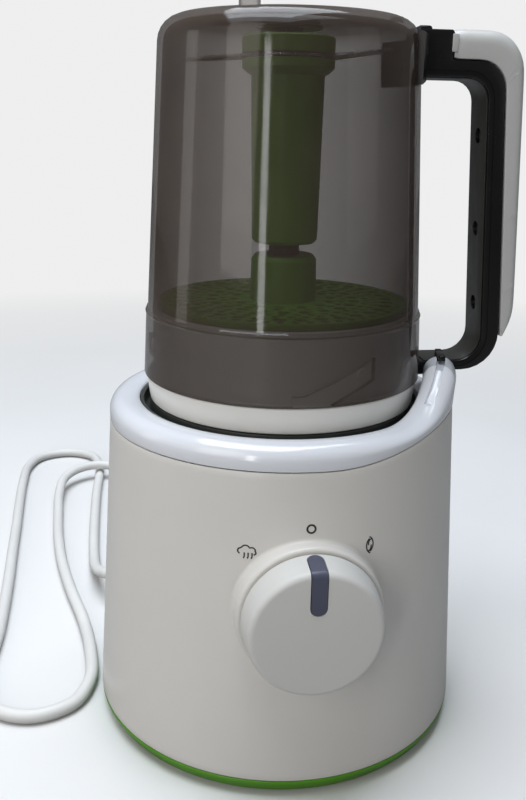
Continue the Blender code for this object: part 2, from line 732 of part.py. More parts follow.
def cord_route():
    exit_x, exit_y, _ = at_angle(RELIEF_END + 3 * GAP, 0, CORD_EXIT_TURN)
    on_table = CORD_R + 0.1
    return [
        (exit_x, exit_y, CORD_EXIT_Z),
        (exit_x - 5, exit_y + 5, CORD_EXIT_Z),
        (-89, 94, 13),
        (-93, 113, 6.5),
        (-95, 136, on_table),
        (-96.5, 170, on_table),
        (-97.5, 230, on_table),
        (-98, 290, on_table),
        (-106, 311.4, on_table),
        (-125.5, 319.5, on_table),
        (-145, 311.4, on_table),
        (-153, 292, on_table),
        (-153.5, 258, on_table),
        (-151.5, 222, on_table),
        (-149, 186, on_table),
        (-146.5, 146, on_table),
        (-143.5, 101, on_table),
        (-141.5, 54, on_table),
        (-141, 2, on_table),
        (-133.7, -15.7, on_table),
        (-116, -23, on_table),
        (-98.3, -15.7, on_table),
        (-91, 2, on_table),
        (-91.5, 24, on_table),
        (-97, 56, on_table),
        (-106, 90, on_table),
        (-114, 126, on_table),
        (-119.5, 164, on_table),
        (-122.5, 200, on_table),
        (-124, 226, 6.0),
        (-121.5, 250.5, 9.2),
        (-111, 264.5, 10.9),
        (-94, 270, 10.9),
        (-75, 263, 8.0),
        (-64.5, 245, 4.6),
        (-55, 215, on_table),
        (-38, 187, 3.6),
        (-16, 171.5, 5.6),
        (PLUG_START[0] - 9, PLUG_START[1], PLUG_START[2]),
        (PLUG_START[0] - 3 * GAP, PLUG_START[1], PLUG_START[2]),
    ]


def make_cord(white_rubber, steel):
    outward = (math.pi / 2, 0, CORD_EXIT_TURN + math.pi / 2)
    relief = [
        (0, RELIEF_END),
        (4.0, RELIEF_END),
        (5.7, 86.5),
        (5.9, 84.0),
        (5.9, 80.2),
        (8.0, 80.0),
        (8.0, 77.5),
        (0, 77.5),
    ]
    turned("strain_relief", relief, white_rubber, 20, (0, 0, CORD_EXIT_Z), outward)
    route = cord_route()
    tube("power_cord", smooth_route(route, 15.5), CORD_R, white_rubber, sides=2)
    x, y, z = PLUG_START
    body = box("plug_body", (x, y - 13, z - 7.3), (x + 33, y + 13, z + 7.3), white_rubber, bevel=3.5)
    for name, side in (("plug_pin_left", -9.5), ("plug_pin_right", 9.5)):
        pin = [(0, 19), (1.8, 19), (2.4, 18), (2.4, GAP), (0, GAP)]
        turned(name, pin, steel, 12, (x + 33, y + side, z), (0, math.pi / 2, 0))
    return body


def main():
    clear_scene()
    white = material("white_abs", (0.84, 0.84, 0.82), 0.32)
    cream = material("cream_pp", (0.78, 0.76, 0.70), 0.45)
    green = material("green_pp", (0.20, 0.42, 0.04), 0.4)
    smoke = material("smoky_san", (0.12, 0.10, 0.10), 0.12, alpha=0.5)
    dark = material("dark_plastic", (0.03, 0.027, 0.027), 0.35)
    slate = material("slate_pointer", (0.07, 0.075, 0.11), 0.4)
    rubber = material("grey_rubber", (0.20, 0.20, 0.20), 0.7)
    white_rubber = material("white_cord", (0.82, 0.82, 0.80), 0.5)
    steel = material("steel", (0.6, 0.6, 0.6), 0.25, metallic=1.0)
    copper = material("motor_winding", (0.45, 0.22, 0.12), 0.45, metallic=0.6)
    board_green = material("board_green", (0.03, 0.18, 0.07), 0.5)

    make_casing(white, green, rubber, steel)
    make_well(dark, rubber, white)
    make_boiler(steel, rubber, dark)
    make_motor(steel, copper, dark)
    make_controls(white, slate, dark, steel, board_green)
    make_jug(smoke, dark)
    make_lid(cream, rubber, green)
    make_blades(green, steel, dark)
    make_handle(dark, white, steel)
    make_cord(white_rubber, steel)


main()
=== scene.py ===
"""Looks of a baby food maker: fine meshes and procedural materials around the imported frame.

Shapes are drawn in millimetres and made into metres by MM. Angles run from +X towards +Y, so the front of the
object, with its knob, is at -90 degrees and the jug's handle is at 0.
"""

import json
import math

import bmesh
import bpy
from mathutils import Matrix, Vector


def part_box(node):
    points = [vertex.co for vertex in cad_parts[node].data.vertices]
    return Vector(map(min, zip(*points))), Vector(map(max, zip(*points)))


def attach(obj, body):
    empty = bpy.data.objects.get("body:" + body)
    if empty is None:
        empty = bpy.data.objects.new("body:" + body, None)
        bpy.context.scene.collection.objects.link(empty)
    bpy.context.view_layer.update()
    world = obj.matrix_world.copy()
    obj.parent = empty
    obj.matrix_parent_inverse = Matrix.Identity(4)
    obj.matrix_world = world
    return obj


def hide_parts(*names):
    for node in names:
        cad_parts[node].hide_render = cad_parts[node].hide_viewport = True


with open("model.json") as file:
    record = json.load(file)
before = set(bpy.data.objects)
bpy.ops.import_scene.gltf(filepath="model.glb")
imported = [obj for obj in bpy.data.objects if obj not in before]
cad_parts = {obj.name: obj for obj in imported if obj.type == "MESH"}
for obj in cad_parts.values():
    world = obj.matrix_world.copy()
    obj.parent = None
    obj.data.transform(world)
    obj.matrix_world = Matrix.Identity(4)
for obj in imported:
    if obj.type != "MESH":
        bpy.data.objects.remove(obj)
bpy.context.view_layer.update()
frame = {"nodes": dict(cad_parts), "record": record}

MM = 0.001
GAP = 0.3  # clearance between neighbours
TAU = 2 * math.pi
FRONT = math.radians(-90)
ARC_STEP = math.radians(15)


def spin(degrees, axis="Z"):
    """A turn about an axis."""
    return Matrix.Rotation(math.radians(degrees), 4, axis)


FACING_FRONT = spin(90, "X")  # +Z of a drawing becomes -Y


def corners_of(node):
    """Lowest and highest corner of a CAD node, in mm."""
    low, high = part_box(node)
    return low / MM, high / MM


SLOT_OF = {part["node"]: part["material_slot"] for part in frame["record"]["subparts"]}
drawn = set()  # CAD nodes that have their looks already


# ---- sizes, from the frame

shell_low, shell_high = corners_of("base_shell")
rim_low, rim_high = corners_of("top_rim")
knob_low, knob_high = corners_of("control_knob")
jug_low, jug_high = corners_of("jug")
relief_low, relief_high = corners_of("strain_relief")
plug_low, plug_high = corners_of("plug_body")

BASE_R = shell_high.x
BASE_Z = shell_low.z
SEAM_R = rim_high.y
SEAM_Z = rim_low.z - GAP
WALL = 2.8

EAR_START, EAR_FULL, EAR_END = (math.radians(a) for a in (-60, -26, -11.5))
EAR_RISE = 18.0
SEAM_CLIMB = 9.5
CREST_Z = rim_high.z - EAR_RISE
CREST_R = 69.8
RIM_INNER_R = corners_of("well_insert")[1].x + GAP

KNOB_Z = (knob_low.z + knob_high.z) / 2
KNOB_R = (knob_high.z - knob_low.z) / 2 - 1.0
KNOB_FACE = -knob_low.y
BOSS_R = KNOB_R + 2.7
BOSS_FACE = 84.0
BOSS_FILLET, BOSS_EDGE = 1.6, 1.5

JUG_LOW_Z = jug_low.z
JUG_TOP_Z = jug_high.z - 2.1
BAND_R = jug_high.x
BAND_TOP_Z = JUG_LOW_Z + 27.8
JUG_WALL_R = 58.7
JUG_TOP_R = 52.3
JUG_CORNER = 10.0
TRACK_RISE = 24.8  # helix of the bayonet, mm per radian
TRACK_TURN = math.radians(25)
PEG_Z = 171.5

HANDLE_HALF = corners_of("handle_cover")[1].y
CORD_R = 3.3
CORD_TURN = math.radians(135)
CORD_Z = (relief_low.z + relief_high.z) / 2


# ---- materials


def feed(owner, node, **inputs):
    """Sets a node's sockets, named with _ for a space, to values or to other nodes' outputs."""
    for name, value in inputs.items():
        socket = node.inputs[name.replace("_", " ")]
        if isinstance(value, bpy.types.NodeSocket):
            owner.node_tree.links.new(value, socket)
        else:
            socket.default_value = value


def add_node(owner, kind, **inputs):
    """A new node in a material or world, with its sockets fed."""
    node = owner.node_tree.nodes.new(f"ShaderNode{kind}")
    feed(owner, node, **inputs)
    return node


def blended(owner, factor, no, yes):
    """Mixes two shaders' outputs; a factor of 0 gives the first."""
    node = add_node(owner, "MixShader", Fac=factor)
    for shader, socket in zip((no, yes), node.inputs[1:]):
        owner.node_tree.links.new(shader, socket)
    return node.outputs["Shader"]


def new_material(name):
    material = bpy.data.materials.new(name)
    material.use_nodes = True
    material.node_tree.nodes.clear()
    shader = add_node(material, "BsdfPrincipled")
    add_node(material, "OutputMaterial", Surface=shader.outputs["BSDF"])
    return material, shader


def noise(material, size, detail=3.0, stretch=(1, 1, 1)):
    """Factor of a noise whose lumps are about `size` mm across, longer where stretch is above 1."""
    place = add_node(material, "TexCoord").outputs["Object"]
    mapping = add_node(material, "Mapping", Vector=place, Scale=[1 / s for s in stretch])
    vector = mapping.outputs["Vector"]
    return add_node(material, "TexNoise", Vector=vector, Scale=1 / (size * MM), Detail=detail).outputs["Fac"]


def spread(material, factor, low, high, start=0.3, end=0.7):
    """The factor's middle range mapped to low..high."""
    node = add_node(material, "MapRange", Value=factor, From_Min=start, From_Max=end, To_Min=low, To_Max=high)
    return node.outputs["Result"]


def tones(material, factor, dark, light, start=0.35, end=0.65):
    """A colour that drifts between two tones."""
    node = add_node(material, "ValToRGB", Fac=factor)
    for stop, place, colour in zip(node.color_ramp.elements, (start, end), (dark, light)):
        stop.position = place
        stop.color = (*colour, 1)
    return node.outputs["Color"]


def bumps(material, shader, layers):
    """Chains bump nodes; each layer is (factor, height in mm)."""
    target = shader
    for factor, height in reversed(layers):
        node = add_node(material, "Bump", Height=factor, Strength=1.0, Distance=height * MM)
        feed(material, target, Normal=node.outputs["Normal"])
        target = node


def moulded(name, colour, rough, *, drift=0.04, grain=0.35, relief=0.004, ripple=0.02, **sockets):
    """Moulded plastic or rubber: a slow drift of tone, fine grain, slight flow ripple, uneven polish."""
    material, shader = new_material(name)
    dark = [c * (1 - drift) for c in colour]
    light = [min(1.0, c * (1 + drift)) for c in colour]
    shade = tones(material, noise(material, 38, 4), dark, light)
    polish = spread(material, noise(material, 9, 5), rough - 0.05, rough + 0.05)
    feed(material, shader, Base_Color=shade, Roughness=polish, **sockets)
    bumps(material, shader, [(noise(material, 30, 2), ripple), (noise(material, grain, 2), relief)])
    return material


def steel(name, colour, rough, stretch):
    """Brushed or drawn steel, with its scratches along the longest stretch."""
    material, shader = new_material(name)
    brushed = noise(material, 0.5, 4, stretch)
    shade = tones(material, brushed, [c * 0.8 for c in colour], colour, 0.25, 0.75)
    polish = spread(material, noise(material, 6, 4), rough - 0.06, rough + 0.08)
    feed(material, shader, Base_Color=shade, Roughness=polish, Metallic=1.0, Anisotropic=0.5)
    bumps(material, shader, [(brushed, 0.006)])
    return material


def smoky(name):
    """Smoke-tinted clear plastic: more opaque towards the edge, where the way through the wall is longer."""
    material, shader = new_material(name)
    edge_on = add_node(material, "LayerWeight", Blend=0.35).outputs["Facing"]
    tint = tones(material, noise(material, 26, 3), (0.060, 0.043, 0.033), (0.078, 0.056, 0.043))
    polish = spread(material, noise(material, 14, 5), 0.04, 0.11)
    opaque = spread(material, edge_on, 0.41, 0.9, 0.0, 0.95)
    feed(material, shader, Base_Color=tint, Roughness=polish, Alpha=opaque, IOR=1.57)
    bumps(material, shader, [(noise(material, 45, 2), 0.05)])
    return material


def wound_wire(name):
    """Enamelled copper, wound in close turns."""
    material, shader = new_material(name)
    place = add_node(material, "TexCoord").outputs["Object"]
    wave = add_node(material, "TexWave", Vector=place, Scale=320.0, Distortion=0.4)
    wave.bands_direction = "Z"
    turns = wave.outputs["Fac"]
    colour = tones(material, turns, (0.22, 0.06, 0.02), (0.62, 0.25, 0.10))
    polish = spread(material, noise(material, 4), 0.25, 0.4)
    feed(material, shader, Base_Color=colour, Roughness=polish, Metallic=0.7)
    bumps(material, shader, [(turns, 0.15)])
    return material


# Colour, roughness and what differs from the usual.
PLASTICS = {
    "white_abs": (
        (0.74, 0.72, 0.68), 0.36, dict(drift=0.015, relief=0.0022, Coat_Weight=0.12, Coat_Roughness=0.25),
    ),
    # The rim's white has a blue cast and is brighter than the casing, standing for the cool light from above:
    # painted light.
    "rim_gloss": ((0.82, 0.845, 0.895), 0.2, dict(drift=0.01, relief=0.0006, ripple=0.03, Coat_Weight=0.5)),
    "green_pp": ((0.10, 0.33, 0.012), 0.33, dict(drift=0.06, relief=0.003, Subsurface_Weight=0.04)),
    "leaf_green": ((0.13, 0.34, 0.022), 0.38, dict(drift=0.08, relief=0.004, Subsurface_Weight=0.05)),
    # Near-black green-grey: the well gets the dark tone that its gap shows in shade, painted shade.
    "well_grey": ((0.035, 0.04, 0.035), 0.42, dict(drift=0.1, relief=0.008)),
    "foot_rubber": ((0.055, 0.055, 0.055), 0.75, dict(drift=0.12, grain=0.6, relief=0.03)),
    "seal_rubber": ((0.62, 0.62, 0.60), 0.55, dict(drift=0.05, grain=0.6, relief=0.01)),
    "dark_plastic": ((0.022, 0.022, 0.024), 0.4, dict(drift=0.12, relief=0.012)),
    "knob_grey": ((0.66, 0.655, 0.63), 0.47, dict(drift=0.012, relief=0.005)),
    "pointer_slate": ((0.075, 0.082, 0.125), 0.38, dict(drift=0.06, relief=0.006)),
    "handle_black": ((0.010, 0.0095, 0.010), 0.24, dict(drift=0.1, relief=0.002, Specular_IOR_Level=0.3)),
    "grip_liner": ((0.035, 0.033, 0.028), 0.42, dict(drift=0.1, relief=0.01)),
    "handle_white": ((0.60, 0.60, 0.585), 0.36, dict(drift=0.015, relief=0.002)),
    "lid_cream": ((0.86, 0.85, 0.81), 0.36, dict(drift=0.02, relief=0.003)),
    "cord_white": ((0.78, 0.78, 0.76), 0.45, dict(drift=0.03, grain=0.5, relief=0.008, ripple=0.1)),
    "board": ((0.02, 0.12, 0.05), 0.4, dict(drift=0.1)),
}
STEELS = {  # colour, roughness and which way the scratches run
    "blade_steel": ((0.42, 0.41, 0.40), 0.27, (1, 14, 1)),
    "boiler_steel": ((0.60, 0.60, 0.60), 0.3, (8, 8, 1)),
    "screw_steel": ((0.45, 0.45, 0.46), 0.32, (1, 1, 6)),
    "motor_steel": ((0.40, 0.41, 0.42), 0.38, (6, 6, 1)),
    "pin_metal": ((0.72, 0.72, 0.70), 0.22, (12, 1, 1)),
}
finish = {name: moulded(name, colour, rough, **rest) for name, (colour, rough, rest) in PLASTICS.items()}
finish |= {name: steel(name, *looks) for name, looks in STEELS.items()}
finish |= {"smoke": smoky("smoke"), "winding": wound_wire("winding")}


# ---- mesh work


def at_angle(radius, z, angle):
    return Vector((radius * math.cos(angle), radius * math.sin(angle), z))


def ramp(low, high, value):
    """0 below low, 1 above high, smooth between."""
    share = min(1.0, max(0.0, (value - low) / (high - low)))
    return share * share * (3 - 2 * share)


def mix(a, b, share):
    return a + (b - a) * share


def rounded(corners, closed=True):
    """Outline through (x, y) or (x, y, radius) corners; a radius turns its corner into an arc."""
    outline = []
    last = len(corners) - 1
    for k, corner in enumerate(corners):
        here = Vector(corner[:2])
        radius = corner[2] if len(corner) > 2 else 0.0
        if radius == 0 or (not closed and k in (0, last)):
            outline.append(here)
            continue
        before = Vector(corners[k - 1][:2]) - here
        after = Vector(corners[(k + 1) % len(corners)][:2]) - here
        half = before.angle(after) / 2
        reach = min(radius / math.tan(half), before.length * 0.49, after.length * 0.49)
        radius = reach * math.tan(half)
        centre = here + (before.normalized() + after.normalized()).normalized() * (radius / math.sin(half))
        start = here + before.normalized() * reach - centre
        end = here + after.normalized() * reach - centre
        turn = math.atan2(start.x * end.y - start.y * end.x, start.dot(end))
        steps = max(2, math.ceil(abs(turn) / ARC_STEP))
        for i in range(steps + 1):
            c, s = math.cos(turn * i / steps), math.sin(turn * i / steps)
            outline.append(centre + Vector((start.x * c - start.y * s, start.x * s + start.y * c)))
    return outline


def bridge(bm, rings, closed=True):
    """Faces between neighbouring rings of the same length; a ring of one vertex is a pole."""
    pairs = zip(rings, rings[1:] + rings[:1]) if closed else zip(rings, rings[1:])
    for one, two in pairs:
        count = max(len(one), len(two))
        for k in range(count):
            after = (k + 1) % count
            quad = [one[k % len(one)], one[after % len(one)], two[after % len(two)], two[k % len(two)]]
            quad = [v for i, v in enumerate(quad) if v not in quad[:i]]
            if len(quad) > 2:
                bm.faces.new(quad)


def loft_mesh(sections, closed=False):
    """Bridges closed sections; an open loft gets an end face at each end."""
    bm = bmesh.new()
    rings = [[bm.verts.new(p) for p in section] for section in sections]
    bridge(bm, rings, closed)
    if not closed:
        bm.faces.new(rings[0])
        bm.faces.new(rings[-1])
    return as_mesh(bm)


def turned_mesh(corners, steps=64, place=Matrix.Identity(4)):
    """Turns a closed (radius, height) profile about Z."""
    bm = bmesh.new()
    rings = []
    for radius, z in rounded(corners):
        turns = [TAU * k / steps for k in range(steps)] if radius > 1e-6 else [0]
        rings.append([bm.verts.new(at_angle(radius, z, turn)) for turn in turns])
    bridge(bm, rings)
    return moved(as_mesh(bm), place)


def link(name, mesh):
    obj = bpy.data.objects.new(name, mesh)
    bpy.context.scene.collection.objects.link(obj)
    return obj


def as_mesh(bm):
    """The bmesh, drawn in mm, as a mesh in metres."""
    bmesh.ops.remove_doubles(bm, verts=bm.verts, dist=0.002)
    bmesh.ops.recalc_face_normals(bm, faces=bm.faces)
    mesh = bpy.data.meshes.new("shape")
    bm.to_mesh(mesh)
    bm.free()
    mesh.transform(Matrix.Scale(MM, 4))
    return mesh


def baked(obj):
    """The object's mesh with its modifiers applied; the object goes."""
    graph = bpy.context.evaluated_depsgraph_get()
    mesh = bpy.data.meshes.new_from_object(obj.evaluated_get(graph))
    bpy.data.objects.remove(obj)
    return mesh


def combined(mesh, other, operation="DIFFERENCE"):
    """One mesh cut by, or joined with, another."""
    obj, tool = link("shape", mesh), link("tool", other)
    change = obj.modifiers.new("change", "BOOLEAN")
    change.operation = operation
    change.object = tool
    change.solver = "EXACT"
    result = baked(obj)
    bpy.data.objects.remove(tool)
    return result


def thickened(mesh, thickness, offset):
    """The mesh as a skin of that thickness in mm."""
    obj = link("skin", mesh)
    skin = obj.modifiers.new("skin", "SOLIDIFY")
    skin.thickness = thickness * MM
    skin.offset = offset
    return baked(obj)


def add_spline(curve, points):
    """A straight-sided line through points in metres."""
    spline = curve.splines.new("POLY")
    spline.points.add(len(points) - 1)
    for target, point in zip(spline.points, points):
        target.co = (*point, 1)
    return spline


def plate_mesh(loops, thickness, edge=0.4, place=Matrix.Identity(4)):
    """A flat solid of the first loop less the others, with rounded edges, centred on the drawing's plane."""
    curve = bpy.data.curves.new("plate", "CURVE")
    curve.dimensions = "2D"
    curve.fill_mode = "BOTH"
    curve.extrude = (thickness / 2 - edge) * MM
    curve.bevel_depth = edge * MM
    curve.bevel_resolution = 1
    curve.offset = -edge * MM
    for k, loop in enumerate(loops):
        area = sum(a[0] * b[1] - a[1] * b[0] for a, b in zip(loop, loop[1:] + loop[:1]))
        points = loop if (area > 0) == (k == 0) else loop[::-1]
        add_spline(curve, [(point[0] * MM, point[1] * MM, 0) for point in points]).use_cyclic_u = True
    mesh = moved(baked(link("plate", curve)), place)
    bm = bmesh.new()
    bm.from_mesh(mesh)
    bmesh.ops.remove_doubles(bm, verts=bm.verts, dist=2e-6)
    bmesh.ops.recalc_face_normals(bm, faces=bm.faces)
    bm.to_mesh(mesh)
    bm.free()
    return mesh


def moved(mesh, place):
    """The mesh, in metres, moved by a matrix whose translation is in mm."""
    shift = place.copy()
    shift.translation = place.translation * MM
    mesh.transform(shift)
    return mesh


def enrolled(obj, body, stands_for):
    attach(obj, body)
    nodes = [stands_for] if isinstance(stands_for, str) else stands_for
    if nodes:
        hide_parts(*nodes)
    drawn.update(nodes)
    return obj


def dressed(mesh, material, crease=32):
    """Gives a mesh its material, and makes it smooth except at real edges."""
    mesh.materials.clear()
    mesh.materials.append(material)
    mesh.shade_smooth()
    mesh.set_sharp_from_angle(angle=math.radians(crease))


def piece(name, mesh, body, slot, stands_for=(), crease=32, look=None):
    """A finished piece, in its slot's material, riding on its body."""
    mesh.name = name
    dressed(mesh, look or finish[slot], crease)
    return enrolled(link(name, mesh), body, stands_for)


def drill_mesh(radius, low, high, steps=32, place=Matrix.Identity(4)):
    """A plain cylinder, to cut a round hole with."""
    return turned_mesh([(0, low), (radius, low), (radius, high), (0, high)], steps, place)


def block_mesh(low, high, place=Matrix.Identity(4), edge=0.0):
    bm = bmesh.new()
    bmesh.ops.create_cube(bm, size=1.0)
    low, high = Vector(low), Vector(high)
    for vert in bm.verts:
        vert.co = (low + high) / 2 + Vector(a * b for a, b in zip(vert.co, high - low))
    if edge:
        bmesh.ops.bevel(bm, geom=bm.edges, offset=edge, segments=3, profile=0.5, affect="EDGES")
    return moved(as_mesh(bm), place)


def joined(meshes):
    """Several meshes as one, not merged."""
    bm = bmesh.new()
    for mesh in meshes:
        bm.from_mesh(mesh)
    result = bpy.data.meshes.new("joined")
    bm.to_mesh(result)
    bm.free()
    return result


def carry(node, edge=0.25):
    """A CAD node that stays: its slot's material and slightly rounded edges."""
    drawn.add(node)
    obj = frame["nodes"][node]
    dressed(obj.data, finish[SLOT_OF[node]])
    bevel = obj.modifiers.new("edges", "BEVEL")
    bevel.width = edge * MM
    bevel.segments = 2
    bevel.limit_method = "ANGLE"
    bevel.angle_limit = math.radians(40)
    bevel.harden_normals = False


def arc(centre, radius, start, end, steps=16, squash=1.0):
    turns = [math.radians(mix(start, end, k / steps)) for k in range(steps + 1)]
    return [(centre[0] + radius * math.cos(t), centre[1] + radius * squash * math.sin(t)) for t in turns]


def circle(radius, count, centre=(0, 0), start=0.0):
    turns = [start + TAU * k / count for k in range(count)]
    return [(centre[0] + radius * math.cos(turn), centre[1] + radius * math.sin(turn)) for turn in turns]


# ---- camera, light and floor


def make_camera():
    camera = bpy.data.cameras.new("camera")
    camera.lens = 39.25
    camera.sensor_width = 36
    obj = link("camera", camera)
    turn = spin(-8.206)
    tilt = spin(72.594, "X")
    roll = spin(1.020)
    obj.matrix_world = Matrix.Translation((-0.06179, -0.37326, 0.26416)) @ turn @ tilt @ roll
    bpy.context.scene.camera = obj


def make_light(name, where, aim, size, power, colour):
    """A soft box of size (width, height) metres that faces its aim."""
    lamp = bpy.data.lights.new(name, "AREA")
    lamp.shape = "RECTANGLE"
    lamp.size, lamp.size_y = size
    lamp.energy = power
    lamp.color = colour
    obj = link(name, lamp)
    obj.location = where
    obj.rotation_euler = (Vector(aim) - Vector(where)).to_track_quat("-Z", "Y").to_euler()


BACKDROP = (0.86, 0.86, 0.86)


def for_camera(owner, other, seen):
    """Shows the camera one shader, and other rays another."""
    return blended(owner, add_node(owner, "LightPath").outputs["Is Camera Ray"], other, seen)


def fade_out(material, shader):
    """Turns the paper into the backdrop's tone away from the object, so that no horizon shows, and lets it
    throw back less light than it shows."""
    place = add_node(material, "TexCoord").outputs["Object"]
    distance = add_node(material, "VectorMath", Vector=place)
    distance.operation = "LENGTH"
    share = spread(material, distance.outputs["Value"], 0.0, 1.0, 0.45, 1.1)
    far = add_node(material, "Emission", Color=(*BACKDROP, 1)).outputs["Emission"]
    dull = add_node(material, "BsdfDiffuse", Color=(0.33, 0.33, 0.33, 1)).outputs["BSDF"]
    output = next(node for node in material.node_tree.nodes if node.type == "OUTPUT_MATERIAL")
    seen = blended(material, share, shader.outputs["BSDF"], far)
    feed(material, output, Surface=for_camera(material, dull, seen))


def make_studio():
    bpy.context.scene.view_settings.view_transform = "Standard"
    world = bpy.data.worlds.new("studio")
    bpy.context.scene.world = world
    world.use_nodes = True
    world.node_tree.nodes.clear()
    soft = add_node(world, "Background", Color=(0.95, 0.97, 1.0, 1), Strength=0.16).outputs["Background"]
    seen = add_node(world, "Background", Color=(*BACKDROP, 1), Strength=1.0).outputs["Background"]
    add_node(world, "OutputWorld", Surface=for_camera(world, soft, seen))

    make_light("overhead", (-0.15, 0.1, 1.5), (0, 0, 0.15), (1.3, 1.0), 25, (0.86, 0.92, 1.0))
    make_light("left_window", (-1.0, -0.9, 0.75), (0, 0, 0.18), (0.7, 1.0), 4.2, (1.0, 0.93, 0.85))
    make_light("streak", (-0.37, -0.75, 0.30), (0, 0, 0.25), (0.075, 0.5), 0.9, (1.0, 1.0, 1.0))
    make_light("left_strip", (-1.1, 0.15, 0.35), (0, 0, 0.22), (0.25, 0.6), 0.6, (1.0, 0.97, 0.93))
    make_light("right_fill", (1.2, -0.8, 0.7), (0, 0, 0.15), (0.8, 0.8), 0.6, (1.0, 0.95, 0.88))

    bpy.ops.mesh.primitive_circle_add(vertices=128, radius=8, fill_type="NGON")
    floor = bpy.context.object
    floor.name = "floor"
    material, shader = new_material("floor_paper")
    paper = tones(material, noise(material, 300, 3), (0.80, 0.80, 0.79), (0.84, 0.84, 0.83))
    feed(material, shader, Base_Color=paper, Roughness=0.7)
    bumps(material, shader, [(noise(material, 0.8, 3), 0.01)])
    fade_out(material, shader)
    floor.data.materials.append(material)


# ---- mains lead

# The lead's own points, in metres, as the CAD part has them.
LEAD_Z = 0.0034
LEAD_ROUTE = [
    (-0.0775, 0.0775, 0.017), (-0.0825, 0.0825, 0.017), (-0.089, 0.094, 0.013), (-0.093, 0.113, 0.0065),
    (-0.095, 0.136, LEAD_Z), (-0.0965, 0.170, LEAD_Z), (-0.0975, 0.230, LEAD_Z), (-0.098, 0.290, LEAD_Z),
    (-0.106, 0.3114, LEAD_Z), (-0.1255, 0.3195, LEAD_Z), (-0.145, 0.3114, LEAD_Z), (-0.153, 0.292, LEAD_Z),
    (-0.1535, 0.258, LEAD_Z), (-0.1515, 0.222, LEAD_Z), (-0.149, 0.186, LEAD_Z), (-0.1465, 0.146, LEAD_Z),
    (-0.1435, 0.101, LEAD_Z), (-0.1415, 0.054, LEAD_Z), (-0.141, 0.002, LEAD_Z), (-0.1337, -0.0157, LEAD_Z),
    (-0.116, -0.023, LEAD_Z), (-0.0983, -0.0157, LEAD_Z), (-0.091, 0.002, LEAD_Z), (-0.0915, 0.024, LEAD_Z),
    (-0.097, 0.056, LEAD_Z), (-0.106, 0.090, LEAD_Z), (-0.114, 0.126, LEAD_Z), (-0.1195, 0.164, LEAD_Z),
    (-0.1225, 0.200, LEAD_Z), (-0.124, 0.226, 0.006), (-0.1215, 0.2505, 0.0092), (-0.111, 0.2645, 0.0109),
    (-0.094, 0.270, 0.0109), (-0.075, 0.263, 0.008), (-0.0645, 0.245, 0.0046), (-0.055, 0.215, LEAD_Z),
    (-0.038, 0.187, 0.0036), (-0.016, 0.1715, 0.0056), (0.005, 0.1685, 0.0076), (0.0131, 0.1685, 0.0076),
]


def smooth_route(points, spacing):
    """Points about `spacing` apart on a centripetal Catmull-Rom curve through the given ones."""
    knots = [Vector(p) for p in points]
    knots = [2 * knots[0] - knots[1]] + knots + [2 * knots[-1] - knots[-2]]
    dense = []
    for p0, p1, p2, p3 in zip(knots, knots[1:], knots[2:], knots[3:]):
        t1 = (p1 - p0).length ** 0.5
        t2 = t1 + (p2 - p1).length ** 0.5
        t3 = t2 + (p3 - p2).length ** 0.5
        for k in range(24):
            t = t1 + (t2 - t1) * k / 24
            share = (t - t1) / (t2 - t1)
            a1, a2, a3 = mix(p0, p1, t / t1), mix(p1, p2, share), mix(p2, p3, (t - t2) / (t3 - t2))
            b1, b2 = mix(a1, a2, t / t2), mix(a2, a3, (t - t1) / (t3 - t1))
            dense.append(mix(b1, b2, share))
    dense.append(knots[-2])
    kept = [dense[0]]
    for point in dense[1:-1]:
        if (point - kept[-1]).length >= spacing:
            kept.append(point)
    return kept + [dense[-1]]


def tube_piece(name, points, radius, body, slot, stands_for):
    """A round tube along points, in metres."""
    curve = bpy.data.curves.new(name, "CURVE")
    curve.dimensions = "3D"
    curve.bevel_depth = radius * MM
    curve.bevel_resolution = 6
    curve.use_fill_caps = True
    add_spline(curve, points).use_smooth = True
    curve.materials.append(finish[slot])
    return enrolled(link(name, curve), body, stands_for)


def outward(angle, z):
    """Turns a drawing so that its +Z points out of the casing at that angle, on an axis at height z."""
    return Matrix.Translation((0, 0, z)) @ Matrix.Rotation(angle + math.pi / 2, 4, "Z") @ FACING_FRONT


def make_relief():
    """Tapered strain relief with ring grooves that let it flex."""
    taper_start, end = 86.0, 108.7
    corners = [(0, 77.5), (8.0, 77.5), (8.0, 80.0), (5.9, 80.2), (5.9, 84.6, 1)]
    for k in range(6):
        low = 88.0 + 3.2 * k
        high = low + 1.3
        wide, narrow = (mix(5.55, 4.15, (z - taper_start) / (end - taper_start)) for z in (low, high))
        corners += [(wide, low, 0.3), (wide - 1.1, low, 0.2), (narrow - 1.1, high, 0.2), (narrow, high, 0.3)]
    corners += [(4.1, end, 0.5), (0, end)]
    mesh = turned_mesh(corners, 64, outward(CORD_TURN, CORD_Z))
    piece("lead_relief", mesh, "base", "cord_white", "strain_relief")


